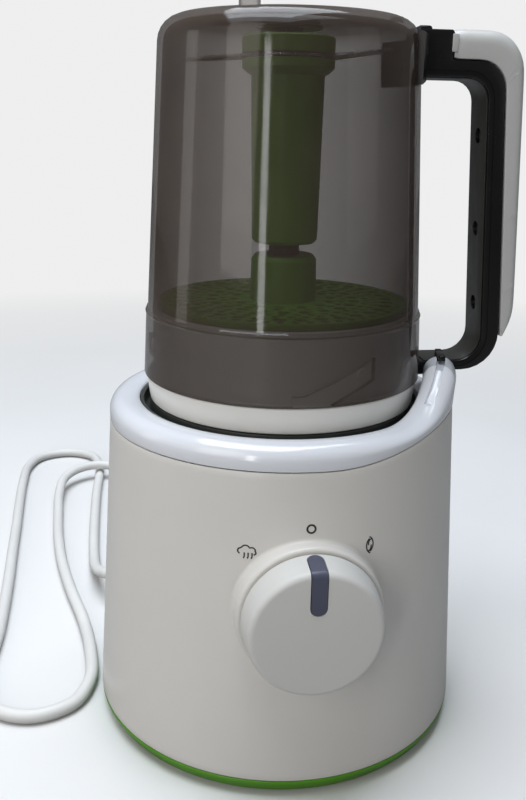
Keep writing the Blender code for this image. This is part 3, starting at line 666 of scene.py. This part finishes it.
def make_plug():
    """Moulded two-pin plug, lying flat: a waisted grip and a flat pin face.

    A station is (share of the length, half width, half height, squareness)."""
    length = plug_high.x - plug_low.x
    middle = (plug_low + plug_high) / 2
    half_wide, half_high = (plug_high.y - plug_low.y) / 2, (plug_high.z - plug_low.z) / 2
    stations = [
        (0.0, 3.9, 3.9, 2.0), (0.02, 4.5, 4.5, 2.0), (0.14, 5.0, 4.8, 2.1), (0.24, 6.6, 5.4, 2.3),
        (0.34, 9.6, 6.2, 2.6), (0.46, 11.6, 6.5, 2.9), (0.60, 11.8, 6.3, 3.1), (0.74, 12.2, 6.6, 3.2),
        (0.86, half_wide - 0.1, half_high, 3.6), (0.97, half_wide, half_high, 4.2),
        (0.995, half_wide - 0.5, half_high - 0.5, 4.2), (1.0, half_wide - 1.2, half_high - 1.2, 4.2),
    ]
    sections = []
    for k in range(61):
        share = k / 60
        after = next(i for i in range(1, len(stations)) if share <= stations[i][0])
        low, high = stations[after - 1], stations[after]
        part = ramp(low[0], high[0], share)
        wide, tall, power = (mix(low[i], high[i], part) for i in (1, 2, 3))
        section = []
        for i in range(72):
            angle = TAU * i / 72
            c, s = math.cos(angle), math.sin(angle)
            y = math.copysign(abs(c) ** (2 / power), c) * wide
            z = math.copysign(abs(s) ** (2 / power), s) * tall
            section.append((plug_low.x + share * length, middle.y + y, middle.z + z))
        sections.append(section)
    return piece("plug_housing", loft_mesh(sections), "base", "cord_white", "plug_body")


def make_pins():
    pins = []
    for side in ("left", "right"):
        low, high = corners_of(f"plug_pin_{side}")
        radius = (high.z - low.z) / 2
        place = Matrix.Translation((low.x, (low.y + high.y) / 2, (low.z + high.z) / 2))
        place = place @ spin(90, "Y")
        length = high.x - low.x
        corners = [(0, 0), (radius, 0), (radius, length - 1.6, 0.6)]
        mesh = turned_mesh(corners + [(radius * 0.55, length, 0.8), (0, length)], 40, place)
        pins.append(piece(f"pin_{side}", mesh, "base", "pin_metal", f"plug_pin_{side}"))
    return pins


def make_lead():
    make_relief()
    plug, pins = make_plug(), make_pins()
    points = smooth_route(LEAD_ROUTE, 0.0035)
    lead = tube_piece("mains_lead", points, CORD_R, "base", "cord_white", "power_cord")


# ---- casing


def seam_height(angle):
    """The seam under the rim climbs towards the ear."""
    angle = (angle + math.pi) % TAU - math.pi
    reach = math.radians(58) if angle < EAR_FULL else math.radians(30)
    return SEAM_Z + SEAM_CLIMB * ramp(0, 1, 1 - abs(angle - EAR_FULL) / reach)


def wall_radius(z, angle):
    return mix(BASE_R, SEAM_R, (z - BASE_Z) / (seam_height(angle) - BASE_Z))


def fill_window(bm, boundary, axis_angle, centre_z, foot_r, between, profile):
    """Fills a window in the casing wall from its boundary in to a round foot, then along a profile.

    The profile turns the wall's depth at the foot, along the axis, into a list of (radius, depth)."""
    ahead = at_angle(1, 0, axis_angle)
    across = at_angle(1, 0, axis_angle + math.pi / 2)
    spokes = []
    for vert in boundary:
        side, up = vert.co.dot(across), vert.co.z - centre_z
        reach = math.hypot(side, up)
        side, up = side / reach, up / reach

        def on_wall(radius):
            u, z = side * radius, centre_z + up * radius
            depth = math.sqrt(wall_radius(z, axis_angle) ** 2 - u * u)
            return math.sqrt(wall_radius(z, axis_angle + math.atan2(u, depth)) ** 2 - u * u)

        steps = [mix(reach, foot_r, k / between) for k in range(1, between + 1)]
        spoke = [vert]
        for radius, depth in [(r, on_wall(r)) for r in steps] + profile(on_wall(foot_r)):
            point = across * (side * radius) + ahead * depth
            spoke.append(bm.verts.new((point.x, point.y, centre_z + up * radius)))
        spokes.append(spoke)
    bridge(bm, [list(ring) for ring in zip(*spokes)], closed=False)


def boss_profile(depth):
    """Soft fillet up to the boss, its rounded edge, and its face in to the shaft's hole."""
    rise, edge = min(BOSS_FILLET, 0.55 * (BOSS_FACE - depth)), min(BOSS_EDGE, 0.4 * (BOSS_FACE - depth))
    turns = [math.pi / 2 * k / 6 for k in range(1, 7)]
    profile = [(BOSS_R + BOSS_FILLET * (1 - math.sin(t)), depth + rise * (1 - math.cos(t))) for t in turns]
    turns = [math.pi / 2 * k / 5 for k in range(6)]
    profile += [(BOSS_R - edge * (1 - math.cos(t)), BOSS_FACE - edge * (1 - math.sin(t))) for t in turns]
    return profile + [(radius, BOSS_FACE) for radius in (27.0, 20.0, 12.0, 4.2)]


def make_shell():
    """The casing's wall: a fine cone with the knob's boss and the lead's hole let into it."""
    columns, wall_rows = 180, 54
    bm = bmesh.new()
    grid = []
    for column in range(columns):
        angle = FRONT + TAU * column / columns
        top = seam_height(angle)
        heights = [(BASE_Z, 0.5), (BASE_Z + 0.15, 0.15)]
        heights += [(mix(BASE_Z + 0.6, top - 0.6, j / wall_rows), 0) for j in range(wall_rows + 1)]
        heights += [(top - 0.15, 0.15), (top, 0.5)]
        grid.append([bm.verts.new(at_angle(wall_radius(z, angle) - inset, z, angle)) for z, inset in heights])

    knob_window = (-17, 17, 15, 50)
    lead_window = (108, 117, 2, 9)

    def covered(column, row):
        for first, last, low, high in (knob_window, lead_window):
            offset = (column - first) % columns
            if offset < last - first and low <= row < high:
                return True
        return False

    for column, here in enumerate(grid):
        after = grid[(column + 1) % columns]
        for row in range(len(here) - 1):
            if not covered(column, row):
                bm.faces.new([here[row], after[row], after[row + 1], here[row + 1]])

    def boundary(window):
        first, last, low, high = window
        loop = [grid[k % columns][low] for k in range(first, last)]
        loop += [grid[last % columns][row] for row in range(low, high)]
        loop += [grid[k % columns][high] for k in range(last, first, -1)]
        loop += [grid[first % columns][row] for row in range(high, low, -1)]
        return loop

    fill_window(bm, boundary(knob_window), FRONT, KNOB_Z, BOSS_R + BOSS_FILLET, 5, boss_profile)

    def hole(depth):
        return [(6.8, depth), (6.35, depth - 0.4)]

    fill_window(bm, boundary(lead_window), CORD_TURN, CORD_Z, 7.3, 2, hole)
    mesh = thickened(as_mesh(bm), WALL, -1)
    piece("casing_shell", mesh, "base", "white_abs", "base_shell")


def ear_share(angle):
    """0 on the plain rim, 1 on the ear, with a rounded shoulder where the ear ends beside the handle."""
    if angle <= EAR_START or angle >= EAR_END:
        return 0.0
    share = min(1.0, (angle - EAR_START) / (EAR_FULL - EAR_START)) ** 2.2
    shoulder = 1.8
    left = (EAR_END - angle) * CREST_R
    if left < shoulder:
        share -= (shoulder - math.sqrt(shoulder**2 - (shoulder - left) ** 2)) / EAR_RISE
    return share


def rim_section(angle):
    share = ear_share(angle)
    crest = CREST_Z + EAR_RISE * share
    seam = seam_height(angle) + GAP
    outer_drop = min(7.0, 0.65 * (crest - seam))
    inner_drop = 2.0 + 4.5 * share
    outer_r = SEAM_R + 0.6 * share

    def surface(radius):
        if radius >= CREST_R:
            reach = min(1.0, (radius - CREST_R) / (outer_r - CREST_R))
            return crest - outer_drop * (1 - math.sqrt(1 - reach**2))
        reach = min(1.0, (CREST_R - radius) / (CREST_R - RIM_INNER_R))
        return crest - inner_drop * (1 - math.sqrt(1 - reach**2))

    groove_r, half = 70.0, 1.85
    depth = 2.2 * ramp(math.radians(-40), math.radians(-37.5), angle) * (angle < EAR_END)
    profile = [(SEAM_R - 0.5, seam), (SEAM_R - 0.12, seam + 0.15), (SEAM_R, seam + 0.5)]
    for k in range(9):
        radius = mix(groove_r + half + 0.15, outer_r, math.cos(math.pi / 2 * k / 9))
        profile.append((radius, surface(radius)))
    edge = [(0.0, 0.0), (0.18, 0.12), (0.3, 0.9), (0.5, 1.0)]
    groove = [(half - inset, part) for inset, part in edge] + [(0.0, 1.0)]
    groove += [(inset - half, part) for inset, part in reversed(edge)]
    for offset, part in groove:
        radius = groove_r + offset
        profile.append((radius, surface(radius) - depth * part))
    for k in range(1, 9):
        radius = mix(groove_r - half - 0.1, RIM_INNER_R, math.sin(math.pi / 2 * k / 8))
        profile.append((radius, surface(radius)))
    profile += [
        (RIM_INNER_R, 143.4), (RIM_INNER_R + 0.4, 143.0), (RIM_INNER_R + 2.4, 143.0),
        (RIM_INNER_R + 2.6, crest - inner_drop - 1.8), (CREST_R - 1.6, crest - 3.2 - 0.6 * share),
        (CREST_R + 1.6, crest - 3.2 - 0.6 * share), (SEAM_R - 2.6, crest - outer_drop - 0.4),
        (SEAM_R - WALL, seam),
    ]
    return [at_angle(r, z, angle) for r, z in profile]


def make_rim():
    angles = [math.radians(a) for a in range(-60, -14)]
    angles += [math.radians(a / 4) for a in range(-4 * 14, -4 * 13 + 1, 2)]
    angles += [EAR_END - d / CREST_R for d in (1.8, 1.5, 1.2, 0.9, 0.6, 0.35, 0.15, 0.04, 0.0005)]
    angles += [EAR_END + d / CREST_R for d in (0.0005, 0.3, 0.8)]
    angles += [math.radians(a) for a in range(-10, 300, 2)]
    mesh = loft_mesh([rim_section(a) for a in angles], closed=True)
    # The rim's blue, bright tone is painted light from above.
    piece("casing_rim", mesh, "base", "rim_gloss", "top_rim", crease=40)


def make_bottom():
    """The green ring that shows under the casing, and the cover with its feet and screws."""
    low, ring_top = 1.6, BASE_Z - GAP
    corners = [
        (0, 4.0), (78.2, 4.0, 0.5), (81.4, ring_top - 0.1), (BASE_R - 0.1, ring_top, 0.5),
        (BASE_R - 0.2, ring_top - 1.6, 1.0), (82.1, low + 1.0, 1.4), (80.6, low, 0.6), (30.0, low, 0.3),
        (29.4, 1.0, 0.3), (0, 1.0),
    ]
    mesh = turned_mesh(corners, 160)
    for k in range(4):
        # The foot's socket and the screw's hole: where round the ring, radius, top and steps.
        for turn, radius, top, steps in ((45, 7.5, 2.9, 48), (0, 3.7, 8, 32)):
            place = Matrix.Translation(at_angle(66, 0, math.radians(turn + 90 * k)))
            mesh = combined(mesh, drill_mesh(radius, -1, top, steps, place))
        carry(f"foot_{k + 1}", edge=0.5)
        carry(f"cover_screw_{k + 1}", edge=0.2)
    piece("green_base_ring", mesh, "base", "green_pp", "bottom_cover")


def make_well():
    lip = RIM_INNER_R - GAP
    ledge, floor = 149.5, 132.0
    corners = [
        (lip, 148.8, 0.6), (lip, 141.6, 0.3), (56.0, 141.6), (56.0, 147.2), (48.6, 147.2),
        (48.6, floor - 2.5), (9.2, floor - 2.5), (9.2, floor, 0.4), (46.0, floor, 2.5), (46.0, ledge, 0.8),
        (58.0, ledge, 0.8), (58.6, 144.0, 1.0), (lip - 1.6, 144.0, 1.0), (lip - 1.6, 148.8, 0.6),
    ]
    mesh = turned_mesh(corners, 160)
    cap_place, nozzle_place = (Matrix.Translation((x, 21.2, 0)) for x in (-21.2, 21.2))
    for radius, place in ((10.2, cap_place), (4.6, nozzle_place)):
        mesh = combined(mesh, drill_mesh(radius, 125, 136, 48, place))
    # The well's near-black tone is painted shade, the dark of its gap.
    piece("steam_well", mesh, "base", "well_grey", "well_insert")
    cap = [
        (0, floor + 4.6), (11.6, floor + 4.6, 0.8), (12.8, floor + 3.4, 0.6), (12.8, floor + 1.7, 0.3),
        (9.8, floor + 1.7), (9.8, floor - 4, 0.4), (0, floor - 4),
    ]
    grip = block_mesh((-10.5, -2.2, 134), (10.5, 2.2, 143), cap_place, edge=1.0)
    mesh = combined(turned_mesh(cap, 72, cap_place), grip, "UNION")
    piece("boiler_cap", mesh, "water_cap", SLOT_OF["tank_cap"], "tank_cap")
    carry("tank_cap_seal", edge=0.2)
    carry("steam_nozzle", edge=0.3)
    carry("shaft_seal", edge=0.2)


# ---- knob and symbols

KNOB_PLACE = Matrix.Translation((0, 0, KNOB_Z)) @ FACING_FRONT


def knob_corners(grow=0.0):
    back = KNOB_FACE - 13.0
    return [
        (0, KNOB_FACE + grow), (KNOB_R - 0.4 + grow, KNOB_FACE + grow, 2.6),
        (KNOB_R + 1.0 + grow, back, 0.5), (0, back),
    ]


def pointer_room(grow):
    """The pointer's room: along the face from a round end, then back along the knob's side to another."""
    half, beyond = 3.0 + grow, 6.0

    def strip(start, end):
        return [(-half, start, half * 0.98), (half, start, half * 0.98), (half, end, 0), (-half, end, 0)]

    low, high = KNOB_FACE - 2.4 - grow, KNOB_FACE + beyond
    place = KNOB_PLACE @ Matrix.Translation((0, 0, (low + high) / 2))
    face = plate_mesh([rounded(strip(9.0 - grow, KNOB_R + beyond))], high - low, 0.01, place)
    low, high = KNOB_R - 1.6 - grow, KNOB_R + beyond
    place = Matrix.Translation((0, 0, KNOB_Z + (low + high) / 2)) @ spin(180)
    side = plate_mesh([rounded(strip(KNOB_FACE - 11.9 - grow, KNOB_FACE + beyond))], high - low, 0.01, place)
    return combined(face, side, "UNION")


def make_knob():
    body = turned_mesh(knob_corners(), 200, place=KNOB_PLACE)
    body = combined(body, pointer_room(GAP))
    body = combined(body, drill_mesh(3.4, 80, 94, place=KNOB_PLACE))
    piece("selector_knob", body, "selector", "knob_grey", "control_knob")
    proud = turned_mesh(knob_corners(0.25), 200, place=KNOB_PLACE)
    pointer = combined(proud, pointer_room(0), "INTERSECT")
    piece("selector_pointer", pointer, "selector", "pointer_slate", "knob_pointer")
    carry("switch_shaft")


def printed(name, strokes, width):
    """Printed line art on the casing: strokes are lists of (along the wall, height) points, in mm.

    A stroke is closed if it ends where it starts."""
    bm = bmesh.new()
    for stroke in strokes:
        points = [Vector(p) for p in stroke]
        closed = (points[0] - points[-1]).length < 1e-6
        if closed:
            points.pop()
        count = len(points)
        pairs = []
        for k, point in enumerate(points):
            before = points[k - 1] if closed or k else point
            after = points[(k + 1) % count] if closed or k < count - 1 else point
            along = (after - before).normalized()
            side = Vector((-along.y, along.x)) * width / 2
            pairs.append([bm.verts.new(on_casing(point + offset)) for offset in (side, -side)])
        for k in range(count if closed else count - 1):
            one, two = pairs[k], pairs[(k + 1) % count]
            bm.faces.new([one[0], one[1], two[1], two[0]])
    piece(name, thickened(as_mesh(bm), 0.06, 0), "base", "dark_plastic")


def on_casing(point, lift=0.05):
    """A point (x, z) of a drawing put on the front of the casing."""
    x, z = point
    angle = FRONT
    for _ in range(3):
        radius = wall_radius(z, angle) + lift
        angle = -math.acos(x / radius)
    return Vector((x, -math.sqrt(radius**2 - x * x), z))


def make_symbols():
    x, z = 0.3, 118.7
    printed("symbol_zero", [arc((x, z), 1.6, 0, 360, 36)], 0.75)
    x, z = -23.9, 109.0
    cloud = arc((x - 2.3, z + 0.1), 1.15, 250, 95, 10)
    cloud += arc((x - 0.5, z + 1.0), 1.5, 145, 20, 10)
    cloud += arc((x + 1.9, z + 0.5), 1.2, 110, -20, 10)
    cloud += arc((x + 2.6, z - 0.4), 0.75, 50, -100, 8)
    steam = [cloud]
    for k in range(3):
        foot = (x - 1.3 + 1.45 * k, z - 2.9)
        steam.append([foot, (foot[0] + 0.3, foot[1] + 0.9), (foot[0] + 0.3, foot[1] + 2.4)])
    printed("symbol_steam", steam, 0.55)
    x, z = 24.4, 109.2
    hooks = []
    for side in (1, -1):
        swirl = arc((x - 0.9, z + 0.2), 2.3, -60, 75, 12, squash=1.45)
        barb = arc((x + 0.5, z + 0.6), 1.1, 200, 60, 8, squash=1.6)
        hooks += [[(x + side * (px - x), z + side * (pz - z)) for px, pz in line] for line in (swirl, barb)]
    printed("symbol_blend", hooks, 0.5)


# ---- jug, lid and blades


def make_jug():
    """The smoky jug: a turned wall with a flared foot band, lugs on its closed end, and bayonet tracks."""
    corner, skin = JUG_CORNER, 2.5
    corners = [
        (BAND_R, JUG_LOW_Z, 0.6), (59.5, BAND_TOP_Z - 1.2, 0.6), (59.9, BAND_TOP_Z - 0.6, 0.4),
        (59.2, BAND_TOP_Z + 0.3, 0.3), (59.3, BAND_TOP_Z + 0.8, 0.2), (JUG_WALL_R, BAND_TOP_Z + 1.4, 0.3),
        (JUG_TOP_R, JUG_TOP_Z, corner), (12.4, JUG_TOP_Z, 0.5), (12.4, JUG_TOP_Z - skin, 0.4),
        (JUG_TOP_R - 2.2, JUG_TOP_Z - skin, corner - 2.4), (JUG_WALL_R - 2.2, 190.5, 0.5),
        (56.6, 189.5, 0.5), (56.6, JUG_LOW_Z, 0.6),
    ]
    mesh = turned_mesh(corners, 192)
    for k in range(3):
        place = spin(-118 + 120 * k)
        lug = block_mesh((42.5, -3.6, JUG_TOP_Z - 2.0), (46.5, 3.6, JUG_TOP_Z + 2.1), place, edge=0.6)
        mesh = combined(mesh, lug, "UNION")
        mesh = combined(mesh, track_mesh(math.radians(-90 + 120 * k)))
    piece("jug_wall", mesh, "jug_unit", "smoke", "jug")


def track_mesh(mouth):
    """One bayonet track: straight in at its mouth, then up a helix to its dead end."""
    inner, outer, half, peg_room, steps = 55.9, 58.6, 4.4, 0.085, 28
    sections = []
    for k in range(steps + 1):
        angle = mix(mouth - peg_room, mouth + TRACK_TURN + peg_room, k / steps)
        middle = PEG_Z - TRACK_RISE * (mouth + TRACK_TURN - angle)
        low, high = middle - half, middle + half
        if angle < mouth + peg_room:
            low, high = JUG_LOW_Z - 2, max(high, JUG_LOW_Z + 4)
        corners = ((inner, low), (outer, low), (outer, high), (inner, high))
        sections.append([at_angle(r, z, angle) for r, z in corners])
    return loft_mesh(sections)


def make_bush():
    corners = [
        (12.0, 305.0, 0.4), (12.0, 302.7, 0.2), (13.6, 302.7, 0.3), (13.6, 301.7, 0.3), (5.9, 301.7, 0.3),
        (5.9, 305.0, 0.6),
    ]
    piece("coupling_bush", turned_mesh(corners, 96), "jug_unit", SLOT_OF["jug_bushing"], "jug_bushing")


def make_lid():
    ledge = corners_of("lid")[0].z
    corners = [
        (59.8, JUG_LOW_Z - GAP, 0.6), (59.5, JUG_LOW_Z - 3.4, 3), (58.4, ledge, 0.8), (55.6, ledge, 0.3),
        (55.6, 152.2, 0.3), (10, 152.2, 0.5), (10, 151.0, 0.3), (6, 151.0, 0.3), (6, 168, 0.5),
        (8.2, 168, 0.5), (8.4, 154.6, 2.0), (54.0, 154.6, 2.0), (54.0, 187, 0.4), (56.3, 187, 0.4),
        (56.3, JUG_LOW_Z - GAP, 0.3),
    ]
    mesh = turned_mesh(corners, 192)
    for k in range(3):
        angle = FRONT + TRACK_TURN + TAU / 3 * k
        peg = turned_mesh([(0, 55), (2.75, 55), (2.75, 57.5, 0.4), (0, 57.5)], 32, outward(angle, PEG_Z))
        mesh = combined(mesh, peg, "UNION")
    piece("lid_ring", mesh, "lid_unit", "lid_cream", "lid")
    seal = [(54.5, 187.6, 0.3), (56.2, 187.6, 0.3), (56.2, 190.0, 0.8), (54.5, 190.0, 0.8)]
    piece("lid_gasket", turned_mesh(seal, 160), "jug_seal", "seal_rubber", "lid_seal")
    seal = [(47.5, ledge, 0.4), (55.0, ledge, 0.4), (55.0, 151.9, 0.6), (47.5, 151.9, 0.6)]
    piece("ledge_gasket", turned_mesh(seal, 160), "lid_base_seal", "seal_rubber", "steam_seal")


def make_strainer():
    """The sieve: a thin plate with rings of holes, and a closed tray under it, put there so that the holes
    show dark: painted shade.
    """
    thick = 0.9
    loops = [circle(54.0, 160), circle(12.6, 48)]
    # Each ring's radius, its number of holes and their radius.
    rings = [(50.2, 54, 1.7), (45.2, 34, 2.9), (40.2, 42, 1.8), (36.1, 38, 1.8)]
    rings += [(31.0, 22, 2.8), (26.0, 26, 1.8), (21.2, 14, 2.4)]
    for k, (radius, count, size) in enumerate(rings):
        for i in range(count):
            angle = TAU * (i + 0.5 * (k % 2)) / count
            loops.append(circle(size, 14, at_angle(radius, 0, angle), angle))
    top = corners_of("strainer")[1].z
    mesh = plate_mesh(loops, thick, 0.15, Matrix.Translation((0, 0, top - thick / 2)))
    post = [
        (6.2, 212, 0.4), (12.5, 212, 0.8), (14.0, 210, 0.8), (14.4, 191, 0.2), (14.4, 186, 0.4),
        (12, 186, 0.3), (12, 209.5, 0.4), (6.2, 209.5, 0.4),
    ]
    # The closed tray below the holes is painted shade: a sheet that makes the holes look dark.
    shade_tray = [(52.6, 192.0), (52.6, 180, 0.6), (12.6, 180, 0.3)]
    shade_tray += [(12.6, 181.4, 0.3), (51.0, 181.4, 0.6), (51.0, 192.0)]
    parts = [mesh, turned_mesh(post, 96), turned_mesh(shade_tray, 160)]
    piece("strainer_plate", joined(parts), "lid_unit", "leaf_green", ("strainer", "strainer_post"))


def make_blades():
    hub_r, blade_z = 18.8, 291.2
    slot_low, slot_high = blade_z - 1.0, blade_z + 1.0
    corners = [
        (hub_r - 3.2, 297.4, 1.5), (hub_r - 1.4, 299.0, 0.6), (hub_r, 298.2, 0.5), (hub_r, slot_high, 0.3),
        (10, slot_high), (10, slot_low), (hub_r, slot_low, 0.3), (hub_r, 286.8, 0.6), (hub_r - 2, 285, 0.6),
        (15.0, 284, 0.8), (14.0, 218.4, 0.6), (12.6, 217, 0.4), (4, 217), (4, 293.5),
    ]
    piece("blade_column", turned_mesh(corners, 128), "blade_unit", "leaf_green", "blade_hub")
    eye_r, root, tip = hub_r + 0.15, 19.5, 42.0
    wing = [(root, -5.5, 0), (tip - 0.8, -4.5, 1.2), (tip, -1.5, 1.2), (tip - 3.5, 4.6, 1.2), (root, 5.5, 0)]
    wing += [(x, y, 0) for x, y in arc((0, 0), eye_r, 20, 160, 18)]
    outline = wing + [(-x, -y, soft) for x, y, soft in wing]
    mesh = plate_mesh([rounded(outline), circle(10.3, 48)], 1.3, 0.5)
    for vert in mesh.vertices:
        out = max(0.0, abs(vert.co.x) / MM - root) / (tip - root)
        vert.co.z += out * (3.2 if vert.co.x > 0 else -1.6) * MM  # one wing is bent up and the other down
    mesh = moved(mesh, Matrix.Translation((0, 0, blade_z)) @ spin(-9))
    piece("cutting_blades", mesh, "blade_unit", "blade_steel", "blades")
    carry("blade_spindle", edge=0.3)
    carry("drive_dog", edge=0.4)


# ---- handle

GRIP_TOP, GRIP_LOW = (81.7, 284.5), (89.2, 165.4)  # the inner corners of the grip
FRAME_CORNERS = [
    (50, 302.6, 0), (66.0, 302.6, 1.2), (66.0, 291.3, 1.0), (88.7, 291.3, 17), (98.0, 160.9, 16),
    (50, 160.9, 0), (50, GRIP_LOW[1], 0), (*GRIP_LOW, 11), (*GRIP_TOP, 9), (50, GRIP_TOP[1], 0),
]


def jug_space():
    """The room that the jug takes out of the handle's ends."""
    wall = JUG_TOP_R + GAP
    corners = [(0, 310), (wall, 310), (wall, JUG_TOP_Z - JUG_CORNER), (JUG_WALL_R + GAP, BAND_TOP_Z + 1.0)]
    corners += [(60.2 + GAP, BAND_TOP_Z + 0.4), (BAND_R + 0.6, 155), (0, 155)]
    return turned_mesh(corners, 160)


def saddle_mesh():
    """The curved plate by which the top arm lies against the jug."""
    inner, outer, low, high, soft = 45, JUG_TOP_R + 3.2, 281.5, 300.0, 1.0
    section = [(inner, low), (outer - soft, low), (outer, low + soft)]
    section += [(outer, high - soft), (outer - soft, high), (inner, high)]
    return loft_mesh([[at_angle(r, z, math.radians(a)) for r, z in section] for a in range(-30, 31, 2)])


def grip_band(near, far, front, back):
    """A band that follows the grip's inner side, between two depths into the grip and two places along Y."""
    path = rounded([(54, GRIP_TOP[1]), (*GRIP_TOP, 9), (*GRIP_LOW, 11), (63, GRIP_LOW[1])], closed=False)
    rows = []
    for depth in (near, far):
        row = []
        for k, point in enumerate(path):
            along = (path[min(k + 1, len(path) - 1)] - path[max(k - 1, 0)]).normalized()
            row.append(point + Vector((-along.y, along.x)) * depth)
        rows.append(row)
    place = Matrix.Translation((0, (front + back) / 2, 0)) @ FACING_FRONT
    return plate_mesh([rows[0] + rows[1][::-1]], back - front, 0.12, place)


def make_handle_frame():
    mesh = plate_mesh([rounded(FRAME_CORNERS)], 2 * HANDLE_HALF, 1.1, FACING_FRONT)
    mesh = combined(mesh, saddle_mesh(), "UNION")
    mesh = combined(mesh, block_mesh((48, -8.5, 299), (57.0, 8.5, 304.0), edge=1.2), "UNION")
    for front in (-HANDLE_HALF - 0.5, HANDLE_HALF - 0.45):
        mesh = combined(mesh, grip_band(2.3, 2.8, front, front + 0.95))
    mesh = combined(mesh, block_mesh((50, -8, 158.6), (78, 8, 162), edge=0.8), "UNION")
    mesh = combined(mesh, jug_space())
    liner = grip_band(-0.35, 1.5, -8.9, 8.9)
    for node in (node for node in SLOT_OF if node.startswith("handle_screw")):
        middle = sum(corners_of(node), Vector()) / 2
        place = Matrix.Translation((middle.x, 0, middle.z)) @ spin(90, "Y")
        pocket = drill_mesh(3.2, -6, 1.5, 40, place)
        mesh, liner = combined(mesh, pocket), combined(liner, pocket)
        carry(node, edge=0.3)
    piece("handle_grip", mesh, "jug_unit", "handle_black", "handle_frame")
    piece("handle_liner", liner, "jug_unit", "handle_black", look=finish["grip_liner"])
    askew = spin(-11.5)
    nib = block_mesh((68.7, -8.0, 168.2), (71.4, 3.0, 170.6), askew, edge=0.5)
    foot = block_mesh((68.7, -9.6, 163), (71.4, -6.4, 170.2), edge=0.3)
    piece("handle_nib", joined([nib, foot]), "jug_unit", "handle_black")


def resampled(points, count):
    """`count` + 1 points evenly along a polyline."""
    points = [Vector(p) for p in points]
    lengths = [(b - a).length for a, b in zip(points, points[1:])]
    result = []
    for k in range(count + 1):
        left = sum(lengths) * k / count
        for start, end, length in zip(points, points[1:], lengths):
            if left <= length or end is points[-1]:
                result.append(start.lerp(end, min(1.0, left / length)))
                break
            left -= length
    return result


def cover_line(start, corner, radius, beyond, knee, tip):
    """One side of the cover: along the top arm, round the corner, and down past its knee to the tip."""
    arc_part = rounded([start, (*corner, radius), beyond], closed=False)[1:-1]
    side_part = rounded([tuple(arc_part[-1]), knee, tip], closed=False)
    line = resampled([start, arc_part[0]], 6)[:-1] + resampled(arc_part, 28)[:-1] + resampled(side_part, 48)
    for _ in range(6):
        trios = list(zip(line, line[1:], line[2:]))
        line[1:-1] = [here.lerp((before + after) / 2, 0.5) for before, here, after in trios]
    return line


def cover_sections():
    """Sections across the white cover, from the top arm round the corner to its blunt tip."""
    near_tip, far_tip, knee = (97.5, 176.3), (98.6, 176.3), (93.2, 235.0, 0)
    near_side = cover_line((66.5, 291.7), (89.0, 291.7), 17.3, near_tip, knee, near_tip)
    knee = (103.6, 185.0, 7)
    far_side = cover_line((66.5, 303.3), (97.4, 303.3), 27.0, (103.2, 190.0), knee, far_tip)
    sections = []
    for k, (near, far) in enumerate(zip(near_side, far_side)):
        outwards = far - near
        depth = outwards.length
        outwards.normalize()
        shrink = 0.5 if k == 0 else 0.0
        half = HANDLE_HALF - shrink
        soft = min(6.0, depth * 0.75)
        far_edge = depth - shrink
        outline = [(-half, shrink, 0.4), (half, shrink, 0.4), (half, far_edge, soft), (-half, far_edge, soft)]
        section = [(near + outwards * p.y, p.x) for p in rounded(outline)]
        sections.append([(spot.x, y, spot.y) for spot, y in section])
    return sections


def make_handle_cover():
    tab = block_mesh((65.0, -HANDLE_HALF - 0.3, 294.2), (67.6, -HANDLE_HALF + 1.5, 301.0), edge=0.3)
    mesh = joined([loft_mesh(cover_sections()), tab])
    piece("handle_shell", mesh, "jug_unit", "handle_white", "handle_cover")


# ---- what stays from the CAD


def carry_inside():
    """The parts inside the casing, which nothing else has drawn, keep their CAD shape."""
    for node in SLOT_OF:
        if node not in drawn:
            carry(node)


make_camera()
make_studio()
make_lead()
make_shell()
make_rim()
make_bottom()
make_well()
make_knob()
make_symbols()
make_jug()
make_bush()
make_lid()
make_strainer()
make_blades()
make_handle_frame()
make_handle_cover()
carry_inside()
